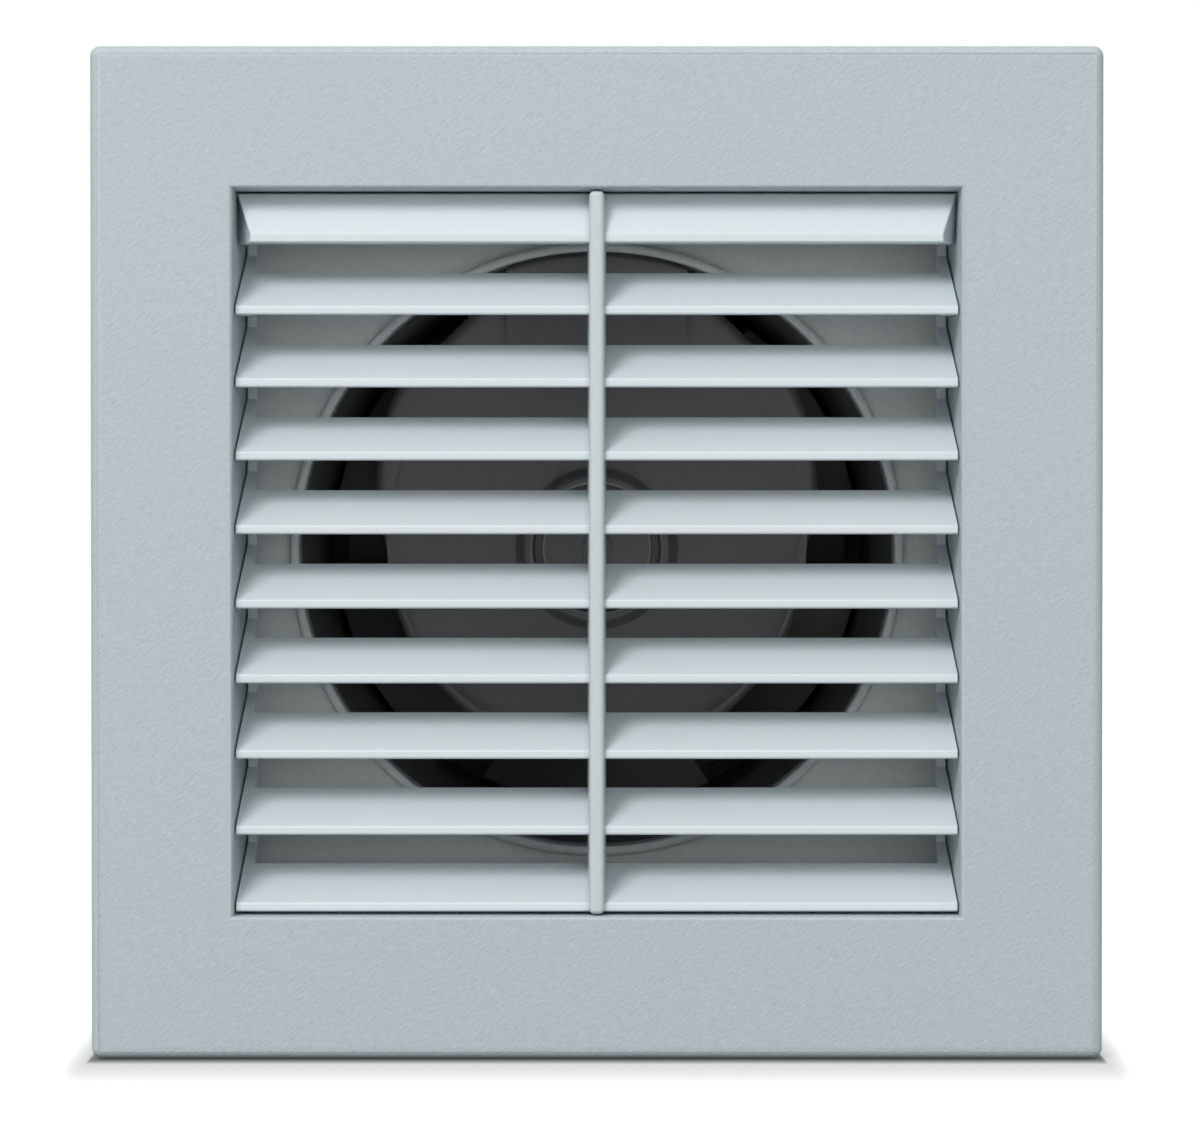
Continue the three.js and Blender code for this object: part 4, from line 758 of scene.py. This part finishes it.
def make_tray():
    bm = bmesh.new()
    fixings = [(x, z) for x in (-FIXING, FIXING) for z in (-FIXING, FIXING)]
    holes = [circle(FIXING_HOLE, place, 32) for place in fixings]
    holes.append(circle(CABLE_HOLE_RADIUS, CABLE_HOLE, 48))
    inner = RIM_OUTER - RIM_WALL / 2
    plate(bm, [square(inner), circle(MOUTH, count=160), *holes], FLOOR_FRONT, FLOOR_REAR)
    plate(bm, [square(RIM_OUTER), square(RIM_OUTER - RIM_WALL)], -RIM_DEPTH, 0)
    for place in fixings:
        pad = [square(PAD_HALF, 0.6 * MM, place), circle(FIXING_HOLE, place, 32)]
        plate(bm, pad, FLOOR_REAR - BITE, 0)
    lip = half_round(MOUTH, LIP_WIDTH, FLOOR_FRONT - LIP_HEIGHT, LIP_HEIGHT, FLOOR_FRONT + BITE)
    turned(bm, lip, 160)
    ribs(bm, TRAY_RIBS, (TRAY_RIB_START, inner), (FLOOR_REAR - BITE, TRAY_RIB_REAR))
    rod(bm, BOSS_RADIUS, BOSS_PLACE, Vector(BOSS_PLACE) + Vector((0, 0, BOSS_LENGTH)))
    for offset in (-POST_SPREAD, POST_SPREAD):
        z = CABLE_HOLE[1] + offset
        rod(bm, POST_RADIUS, (POST_X, FLOOR_FRONT - POST_HEIGHT, z), (POST_X, FLOOR_FRONT + BITE, z))
    keep(bm, "tray_skin", "housing", body_plastic, "mounting_body")


make_tray()

# %% [markdown]
# ## Duct and motor carrier
# The duct is one profile spun about the fan axis: flange, taper, straight throat, the ledge that the flaps
# close on, and the spigot's chamfered end. The carrier is the rear half of the motor pod: a tray whose
# loops follow the pod's outline, with a hole for the bearing boss and two bosses for the motor's screws.
# Both halves of the pod are stacks of loops with the same number of points, joined one to the next.

# %% Duct and motor carrier
THROAT = 47 * MM
DUCT_WALL = 2 * MM
DUCT_END = 66 * MM
FLANGE_RADIUS = 59.5 * MM
FLANGE_THICKNESS = 2.5 * MM
FLANGE_EDGE = 0.4 * MM
TAPER_END = 13 * MM
FLAP_PLANE = 58.6 * MM
LEDGE_RADIUS = 44.4 * MM
LEDGE_FRONT = FLAP_PLANE - 2.6 * MM
LEDGE_THICKNESS = 1.8 * MM
POD_SPLIT = 12 * MM
POD_BACK = 27 * MM
POD_BACK_EDGE = 0.6 * MM
POD_WALL = 2 * MM
POD_RADIUS = 35.6 * MM
POD_REACH = THROAT - CLEARANCE
BEARING_HOLE = 6.9 * MM
MOTOR_SCREW_X = 17.6 * MM
BOSS_FRONT = 20.1 * MM
BOSS_HOLE = 1.8 * MM
BOSS_OUTSIDE = 3.6 * MM


def bezier(*controls, steps=8):
    """Points along a Bezier curve, without its first."""
    points = []
    for i in range(1, steps + 1):
        row = [Vector(c) for c in controls]
        while len(row) > 1:
            row = [a.lerp(b, i / steps) for a, b in zip(row, row[1:])]
        points.append(tuple(row[0]))
    return points


def pod_outline():
    """The pod in X and Z: round below, shoulders above, and a neck that ends just inside the duct's wall."""
    flare = bezier((35.6, 0), (37.9, 6), (38.9, 17), (33.8, 27.4))[:-1]
    shoulder = bezier((34.3, 26.4), (33.8, 27.4), (33.0, 28.2), steps=4)
    corner = bezier((22.4, 38.6), (21.2, 39.8), (20.6, 40.3), steps=4)
    neck = bezier((20.6, 40.3), (18.5, 42.1), (17.6, 43.26))
    right = [(x * MM, z * MM) for x, z in flare + shoulder + corner + neck]
    start = math.atan2(right[-1][1], right[-1][0])
    arc = [start + (math.pi - 2 * start) * i / 12 for i in range(1, 12)]
    top = [(POD_REACH * math.cos(a), POD_REACH * math.sin(a)) for a in arc]
    below = [math.pi * (1 + i / 64) for i in range(65)]
    low = [(POD_RADIUS * math.cos(a), POD_RADIUS * math.sin(a)) for a in below]
    left = [(-x, z) for x, z in reversed(right)]
    return low + right + top + left


def inside(outline, inset, y):
    """The outline drawn smaller, as points at a depth."""
    factor = 1 - inset / POD_RADIUS
    return [(x * factor, y, z * factor) for x, z in outline]


def disc(outline, radius, y, centre=0.0):
    """A circle whose points lie in the same directions as the outline's."""
    angles = [math.atan2(z - centre, x) for x, z in outline]
    return [(radius * math.cos(a), y, centre + radius * math.sin(a)) for a in angles]


def stacked(bm, loops, ring=False):
    """Joins loops of points in order; the last goes back to the first, or is closed with a face."""
    rows = [[bm.verts.new(p) for p in loop] for loop in loops]
    for near, far in zip(rows, rows[1:] + rows[:1] if ring else rows[1:]):
        count = len(near)
        for i in range(count):
            j = (i + 1) % count
            bm.faces.new((near[i], near[j], far[j], far[i]))
    if not ring:
        bm.faces.new(rows[-1])


def make_duct():
    bm = bmesh.new()
    mouth = MOUTH - CLEARANCE
    outside = THROAT + DUCT_WALL
    front = FLOOR_REAR + CLEARANCE
    rear = front + FLANGE_THICKNESS
    flange = [
        (mouth, front),
        (FLANGE_RADIUS - FLANGE_EDGE, front),
        (FLANGE_RADIUS, front + FLANGE_EDGE),
        (FLANGE_RADIUS, rear - FLANGE_EDGE),
        (FLANGE_RADIUS - FLANGE_EDGE, rear),
        (mouth + DUCT_WALL + 0.6 * MM, rear),
        (mouth + DUCT_WALL, rear + 0.8 * MM),
    ]
    tube = [
        (outside + 0.1 * MM, TAPER_END - 2 * MM),
        (outside, TAPER_END),
        (outside, DUCT_END - 1 * MM),
        (outside - 1 * MM, DUCT_END),
        (THROAT + 0.3 * MM, DUCT_END),
        (THROAT, DUCT_END - 0.3 * MM),
    ]
    ledge = [
        (THROAT, LEDGE_FRONT + LEDGE_THICKNESS),
        (LEDGE_RADIUS, LEDGE_FRONT + LEDGE_THICKNESS),
        (LEDGE_RADIUS, LEDGE_FRONT),
        (THROAT, LEDGE_FRONT - LEDGE_THICKNESS),
    ]
    taper = [(THROAT, TAPER_END), (THROAT + 0.1 * MM, TAPER_END - 2 * MM)]
    turned(bm, flange + tube + ledge + taper, 160)
    keep(bm, "duct_skin", "housing", fan_plastic, "duct_housing")


def make_carrier():
    bm = bmesh.new()
    outline = pod_outline()
    front = POD_SPLIT + CLEARANCE
    floor = POD_BACK - POD_WALL
    loops = [
        inside(outline, 0, front),
        inside(outline, 0, POD_BACK - POD_BACK_EDGE),
        inside(outline, POD_BACK_EDGE, POD_BACK),
        disc(outline, BEARING_HOLE, POD_BACK),
        disc(outline, BEARING_HOLE, floor),
        inside(outline, POD_WALL, floor),
        inside(outline, POD_WALL, front),
    ]
    stacked(bm, loops, ring=True)
    rear = floor + BITE
    boss = [(BOSS_HOLE, BOSS_FRONT), (BOSS_OUTSIDE, BOSS_FRONT), (BOSS_OUTSIDE, rear), (BOSS_HOLE, rear)]
    for side in (-1, 1):
        turned(bm, boss, 32, (side * MOTOR_SCREW_X, 0, 0))
    keep(bm, "carrier_skin", "housing", fan_plastic, "motor_carrier")


make_duct()
make_carrier()

# %% [markdown]
# ## Motor pod
# The pod's front is one stack: the outline, the rolled edge, the rim of the dish, and the hub's rings. The
# neck for the wires rises from the dish to the wall of the mouth, just behind its lip.

# %% Motor pod
POD_FRONT = -2 * MM
POD_ROLL = 1.6 * MM
DISH_CENTRE = 2.4 * MM
DISH_RADIUS = 35.6 * MM
DISH_DEPTH = 1.5 * MM
HUB_STEPS = (
    (13.9, 0.0), (13.5, -0.15), (12.7, -1.1), (12.3, -1.5), (11.9, -1.6), (11.0, -1.6), (10.7, -1.4),
    (10.5, 0.3), (9.4, 0.3), (9.3, -0.9), (9.0, -1.02), (2.5, -1.28), (2.4, -1.6), (2.2, -1.65),
)  # radius and rise over the dish's floor in millimetres, from the outer ring to the middle
NECK_FOOT = 28.4 * MM
NECK_HALF = 15.3 * MM


def make_motor_cover():
    bm = bmesh.new()
    outline = pod_outline()
    loops = [inside(outline, 0, POD_SPLIT)]
    for i in range(7):
        angle = math.radians(15 * i)
        depth = POD_FRONT + POD_ROLL * (1 - math.sin(angle))
        loops.append(inside(outline, POD_ROLL * (1 - math.cos(angle)), depth))
    for i in range(9):
        angle = math.radians(90 * i / 8)
        radius = DISH_RADIUS * math.cos(angle * 0.75)
        loops.append(disc(outline, radius, POD_FRONT + DISH_DEPTH * math.sin(angle), DISH_CENTRE))
    floor = POD_FRONT + DISH_DEPTH
    for radius, rise in HUB_STEPS:
        loops.append(disc(outline, radius * MM, floor + rise * MM))
    stacked(bm, loops)
    keep(bm, "motor_cover_skin", "housing", fan_plastic, "motor_cover", sharp=50)


def make_wiring_neck():
    """The wires' way out: it rises from the dish to the mouth's wall, just behind the lip."""
    bm = bmesh.new()
    front = FLOOR_FRONT + BITE
    loops = []
    for i in range(25):
        x = NECK_HALF * (i / 12 - 1)
        mouth, taper, throat = (math.sqrt((r * MM) ** 2 - x * x) for r in (49.6, 49.1, 46.7))
        section = [
            (POD_FRONT + 2 * MM, NECK_FOOT),
            (POD_FRONT, NECK_FOOT + 6 * MM),
            (front + 1.5 * MM, 44 * MM),
            (front + 0.5 * MM, 45.4 * MM),
            (front, 46.4 * MM),
            (front, mouth - 0.6 * MM),
            (front + 0.2 * MM, mouth - 0.2 * MM),
            (front + 0.6 * MM, mouth),
            (FLOOR_REAR, mouth),
            (FLOOR_REAR + 1.5 * MM, taper),
            (9 * MM, throat),
            (POD_SPLIT, throat),
            (POD_SPLIT, NECK_FOOT),
        ]
        loops.append([(x, y, min(z, mouth)) for y, z in section])
    stacked(bm, loops)
    bmesh.ops.holes_fill(bm, edges=[e for e in bm.edges if e.is_boundary])
    at_side = lambda co: abs(abs(co.x) - NECK_HALF) < NEAR and co.y < POD_FRONT + NEAR
    soften(bm, edges_where(bm, at_side), 0.4 * MM)
    keep(bm, "wiring_neck_skin", "housing", fan_plastic)


make_motor_cover()
make_wiring_neck()

# %% [markdown]
# ## Impeller
# The hub is spun. One blade is a grid laid on a twisted and cambered surface. Solidify gives it its
# thickness, a bevel rounds its edges, and five turned copies complete the wheel.

# %% Impeller
HUB_RADIUS = 15 * MM
IMPELLER_FRONT = 29.5 * MM
HUB_DEPTH = 19 * MM
BLADE_TIP = THROAT - 0.9 * MM
BLADES = 6
BLADE_THICKNESS = 1.2 * MM
BLADE_CAMBER = 1.6 * MM
HUB_PROFILE = (
    (2.3, 0), (13.8, 0), (14.4, 0.25), (14.8, 0.7), (15, 1.3), (15, 18.7), (14.7, 19), (13.5, 19),
    (13.2, 18.7), (13.2, 1.8), (5, 1.8), (5, 18.7), (4.7, 19), (2.3, 19),
)  # radius and depth in millimetres
WEB_REACH = (4.5 * MM, 13.7 * MM)
WEB_DEPTHS = (1.3 * MM, 17 * MM)
WEB_HALF = 0.6 * MM


def blade_point(s, t):
    """A point of the blade's middle surface: s from root to tip, t along the chord."""
    root = HUB_RADIUS - BITE
    radius = root + s * (BLADE_TIP - root)
    angle = math.radians((t - 0.5) * (40 + 11 * s))
    along = (t - 0.5) * (15 - 4 * s) * MM
    camber = BLADE_CAMBER * (1 - (2 * t - 1) ** 2)
    y = IMPELLER_FRONT + HUB_DEPTH / 2 + along - camber
    return Vector((radius * math.sin(angle), y, radius * math.cos(angle)))


def step_round(bm, verts, i):
    """Turns vertices from the first blade's place to that of blade i."""
    turn = Matrix.Rotation(2 * math.pi * i / BLADES, 3, "Y")
    bmesh.ops.rotate(bm, cent=(0, 0, 0), matrix=turn, verts=verts)


def make_impeller():
    bm = bmesh.new()
    grid = bmesh.ops.create_grid(bm, x_segments=14, y_segments=20, size=0.5)["verts"]
    for v in grid:
        v.co = blade_point(v.co.x + 0.5, v.co.y + 0.5)
    bmesh.ops.recalc_face_normals(bm, faces=bm.faces)
    bmesh.ops.solidify(bm, geom=bm.faces[:], thickness=BLADE_THICKNESS)
    soften_sharp(bm, 0.35 * MM, 3, angle=50)
    blade = bm.verts[:] + bm.edges[:] + bm.faces[:]
    for i in range(1, BLADES):
        step_round(bm, verts_in(bmesh.ops.duplicate(bm, geom=blade)["geom"]), i)
    turned(bm, [(r * MM, IMPELLER_FRONT + y * MM) for r, y in HUB_PROFILE], 96)
    near, far = (IMPELLER_FRONT + depth for depth in WEB_DEPTHS)
    for i in range(BLADES):
        web = box_between(bm, (WEB_REACH[0], near, -WEB_HALF), (WEB_REACH[1], far, WEB_HALF))
        step_round(bm, web, i)
    keep(bm, "impeller_skin", "impeller", fan_plastic, "impeller")


make_impeller()

# %% [markdown]
# ## Flaps, gasket and bush
# Each flap is half a disc with a curved rib and two knuckles on the shared pin. The foam gasket and the
# rubber bush are spun.

# %% Flaps
FLAP_RADIUS = 46.2 * MM
FLAP_EDGE = 2.6 * MM  # where the half disc starts, beside the pin
FLAP_HALF = 0.5 * MM  # half its thickness
FLAP_RIB = (28.6 * MM, 29.8 * MM)
FLAP_RIB_EDGE = 6.8 * MM
FLAP_RIB_DEPTHS = (FLAP_PLANE + 0.3 * MM, FLAP_PLANE + 1.5 * MM)
KNUCKLE_ROWS = 4
KNUCKLE_PITCH = 20 * MM
KNUCKLE_LENGTH = 19.65 * MM
KNUCKLE_RADIUS = 2.3 * MM
SHARPER = 60  # degrees: leaves the facets of a curve alone and takes its rims


def half_arc(radius, edge, side, steps, order=1):
    """Points of a half circle that starts and ends at a distance from the pin."""
    limit = math.acos(edge / radius)
    angles = [limit * (1 - 2 * i / steps) * order for i in range(steps + 1)]
    return [(side * radius * math.cos(a), radius * math.sin(a)) for a in angles]


def make_flap(name, side):
    bm = bmesh.new()
    near, far = FLAP_PLANE - FLAP_HALF, FLAP_PLANE + FLAP_HALF
    plate(bm, [half_arc(FLAP_RADIUS, FLAP_EDGE, side, 64)], near, far)
    inner, outer = FLAP_RIB
    rib = half_arc(inner, FLAP_RIB_EDGE, side, 48) + half_arc(outer, FLAP_RIB_EDGE, side, 48, -1)
    plate(bm, [rib], *FLAP_RIB_DEPTHS)
    soften_sharp(bm, 0.2 * MM, angle=SHARPER)
    x = sorted((side * 1.3 * MM, side * (FLAP_EDGE + 2 * BITE)))
    for row in range(0 if side > 0 else 1, KNUCKLE_ROWS, 2):
        middle = (row + 0.5 - KNUCKLE_ROWS / 2) * KNUCKLE_PITCH
        low, high = middle - KNUCKLE_LENGTH / 2, middle + KNUCKLE_LENGTH / 2
        knuckle = rod(bm, KNUCKLE_RADIUS, (0, FLAP_PLANE, low), (0, FLAP_PLANE, high))
        soften_sharp(bm, 0.25 * MM, angle=SHARPER, faces=faces_of(knuckle))
        box_between(bm, (x[0], near, low), (x[1], far, high))
    keep(bm, name + "_skin", name, flap_plastic, name)


make_flap("flap_right", 1)
make_flap("flap_left", -1)


# %% Gasket and bush
GASKET = (62 * MM, 70 * MM)
BUSH_HOLE = 3.7 * MM
BUSH_WAIST = CABLE_HOLE_RADIUS - CLEARANCE
BUSH_RADIUS = 7.4 * MM
BUSH_END = 1.6 * MM


def make_gasket():
    bm = bmesh.new()
    front = FLOOR_REAR + CLEARANCE
    inner, outer = GASKET
    turned(bm, [(inner, front), (outer, front), (outer, 0), (inner, 0)])
    soften_sharp(bm, 0.5 * MM, 3, angle=SHARPER)
    keep(bm, "gasket_skin", "housing", grey_foam, "panel_gasket")


def make_bush():
    bm = bmesh.new()
    profile = [
        (BUSH_HOLE, FLOOR_FRONT - BUSH_END),
        (BUSH_RADIUS, FLOOR_FRONT - BUSH_END),
        (BUSH_RADIUS, FLOOR_FRONT - CLEARANCE),
        (BUSH_WAIST, FLOOR_FRONT - CLEARANCE),
        (BUSH_WAIST, FLOOR_REAR + CLEARANCE),
        (BUSH_RADIUS, FLOOR_REAR + CLEARANCE),
        (BUSH_RADIUS, FLOOR_REAR + BUSH_END),
        (BUSH_HOLE, FLOOR_REAR + BUSH_END),
    ]
    turned(bm, profile, 48, (CABLE_HOLE[0], 0, CABLE_HOLE[1]))
    soften_sharp(bm, 0.35 * MM, 3, angle=SHARPER)
    keep(bm, "bush_skin", "housing", black_rubber, "cable_grommet")


make_gasket()
make_bush()

# %% [markdown]
# ## CAD nodes that stay
# The small pieces keep their CAD mesh. It is loose triangles, so a Weld modifier joins them first, and a
# narrow bevel then gives every edge the small radius that moulding and pressing leave, which catches light.

# %% CAD nodes that stay
EDGE_RADIUS = 0.15 * MM
grained_plastics = (frame_plastic, body_plastic, fan_plastic, flap_plastic)
smooth_plastics = (louvre_plastic, terminal_plastic, bobbin_plastic)
metals = (core_steel, bracket_steel, shaft_steel, bronze, copper, screw_zinc)
soft_finishes = (black_rubber, grey_foam)
finishes = {f.name: f for f in (*grained_plastics, *smooth_plastics, *metals, *soft_finishes)}
finish_of = {row["node"]: row["material_slot"] for row in frame["record"]["subparts"]}


def dress_node(name, node):
    shade(node.data, finishes[finish_of[name]])
    weld = node.modifiers.new("weld", "WELD")
    weld.merge_threshold = SAME_PLACE
    bevel = node.modifiers.new("bevel", "BEVEL")
    bevel.width = EDGE_RADIUS
    bevel.segments = 2
    bevel.limit_method = "ANGLE"
    bevel.angle_limit = math.radians(40)
    bevel.harden_normals = True


for name, node in frame["nodes"].items():
    if not node.hide_render:
        dress_node(name, node)
print("CAD nodes kept", sum(not n.hide_render for n in frame["nodes"].values()))

# %% [markdown]
# ## Stage
# The fan stands on a white sheet in a white room. Both show as white to the camera and in reflections only,
# so they put no more light on the fan than a pale room would. Near the fan the sheet's glow is turned down
# as painted shadow, so that its own shading and the lamps' real shadow show there, and a thin dark line
# where the cover stands is painted shadow too.

# %% Stage
FLOOR_Z = cover_low.z - 0.3 * MM
PAINTED_SHADOW_REACH = 56 * MM  # distance in front of the cover over which the painted shadow fades and the sheet turns white
PAINTED_CONTACT_REACH = 7 * MM  # and the painted dark line where the cover stands
SHEET_SIDE = 9  # how many times sooner it does so beside the cover
PAINTED_SHADOW_GLOW = 0.5  # the sheet's glow at the cover, halved as painted shadow
PAINTED_CONTACT_GLOW = 0.1  # and the share of it that is left in the painted dark line
SHEET_HALF = 6  # metres
ROOM_STRENGTH = 0.6
floor_mesh = bpy.data.meshes.new("floor")
bm = bmesh.new()
bmesh.ops.create_grid(bm, x_segments=1, y_segments=1, size=SHEET_HALF)
bmesh.ops.translate(bm, vec=(0, 0, FLOOR_Z), verts=bm.verts)
bm.to_mesh(floor_mesh)
bm.free()
floor = bpy.data.objects.new("floor", floor_mesh)
bpy.context.scene.collection.objects.link(floor)


def seen_only(tree):
    """1 for rays that show the background: from the camera, off gloss, or through glass."""
    path = tree.nodes.new("ShaderNodeLightPath")
    either = path.outputs["Is Camera Ray"]
    for kind in ("Is Glossy Ray", "Is Transmission Ray"):
        most = tree.nodes.new("ShaderNodeMath")
        most.operation = "MAXIMUM"
        tree.links.new(either, most.inputs[0])
        tree.links.new(path.outputs[kind], most.inputs[1])
        either = most.outputs[0]
    return either


def make_floor_finish():
    made = Finish("white_sheet_painted_shadow", (0.22, 0.22, 0.22), 0.9, Specular_IOR_Level=0.0, Emission_Strength=1.0)
    middle = (cover_low.y + cover_high.y) / 2
    beside = (made.coordinate("X").absolute() - HALF).at_least(0.0) * SHEET_SIDE
    before = ((made.coordinate("Y") - middle).absolute() - (cover_high.y - middle)).at_least(0.0)
    distance = (beside * beside + before * before) ** 0.5
    smooth = {"interpolation_type": "SMOOTHSTEP"}
    # painted shadow: the sheet's glow is dimmed near the cover, and dimmer still in a thin line where the
    # cover stands
    glow = made.node("ShaderNodeMapRange", smooth, distance, 0.0, PAINTED_SHADOW_REACH, PAINTED_SHADOW_GLOW, 1.0)
    painted_contact_shadow = made.node("ShaderNodeMapRange", smooth, distance, 0.0, PAINTED_CONTACT_REACH, PAINTED_CONTACT_GLOW, 1.0)
    shown = glow * painted_contact_shadow * Output(made, seen_only(made.material.node_tree))
    made.set("Emission Color", made.node("ShaderNodeCombineColor", {}, shown, shown, shown))
    return made


floor.data.materials.append(make_floor_finish().material)
print("floor at", round(FLOOR_Z, 4))

# %% Room and lamps
world = bpy.data.worlds.new("studio")
bpy.context.scene.world = world
world.use_nodes = True
tree = world.node_tree
room = tree.nodes["Background"]
room.inputs["Color"].default_value = (1, 1, 1, 1)
room.inputs["Strength"].default_value = ROOM_STRENGTH
white = tree.nodes.new("ShaderNodeBackground")
white.inputs["Color"].default_value = (1, 1, 1, 1)
white.inputs["Strength"].default_value = 1.0
blend = tree.nodes.new("ShaderNodeMixShader")
tree.links.new(seen_only(tree), blend.inputs["Fac"])
tree.links.new(room.outputs[0], blend.inputs[1])
tree.links.new(white.outputs[0], blend.inputs[2])
tree.links.new(blend.outputs[0], tree.nodes["World Output"].inputs["Surface"])


def softbox(name, place, size, power):
    """A square lamp that looks at the fan, with its power in watts."""
    data = bpy.data.lights.new(name, "AREA")
    data.size = size
    data.energy = power
    lamp = bpy.data.objects.new(name, data)
    lamp.location = place
    lamp.rotation_euler = (-Vector(place)).to_track_quat("-Z", "Y").to_euler()
    bpy.context.scene.collection.objects.link(lamp)


softbox("key", (-0.67, -1.43, 1.06), 0.6, 19)
softbox("fill", (0.33, -1.85, 0.26), 1.2, 6.5)
bpy.context.scene.view_settings.view_transform = "Standard"
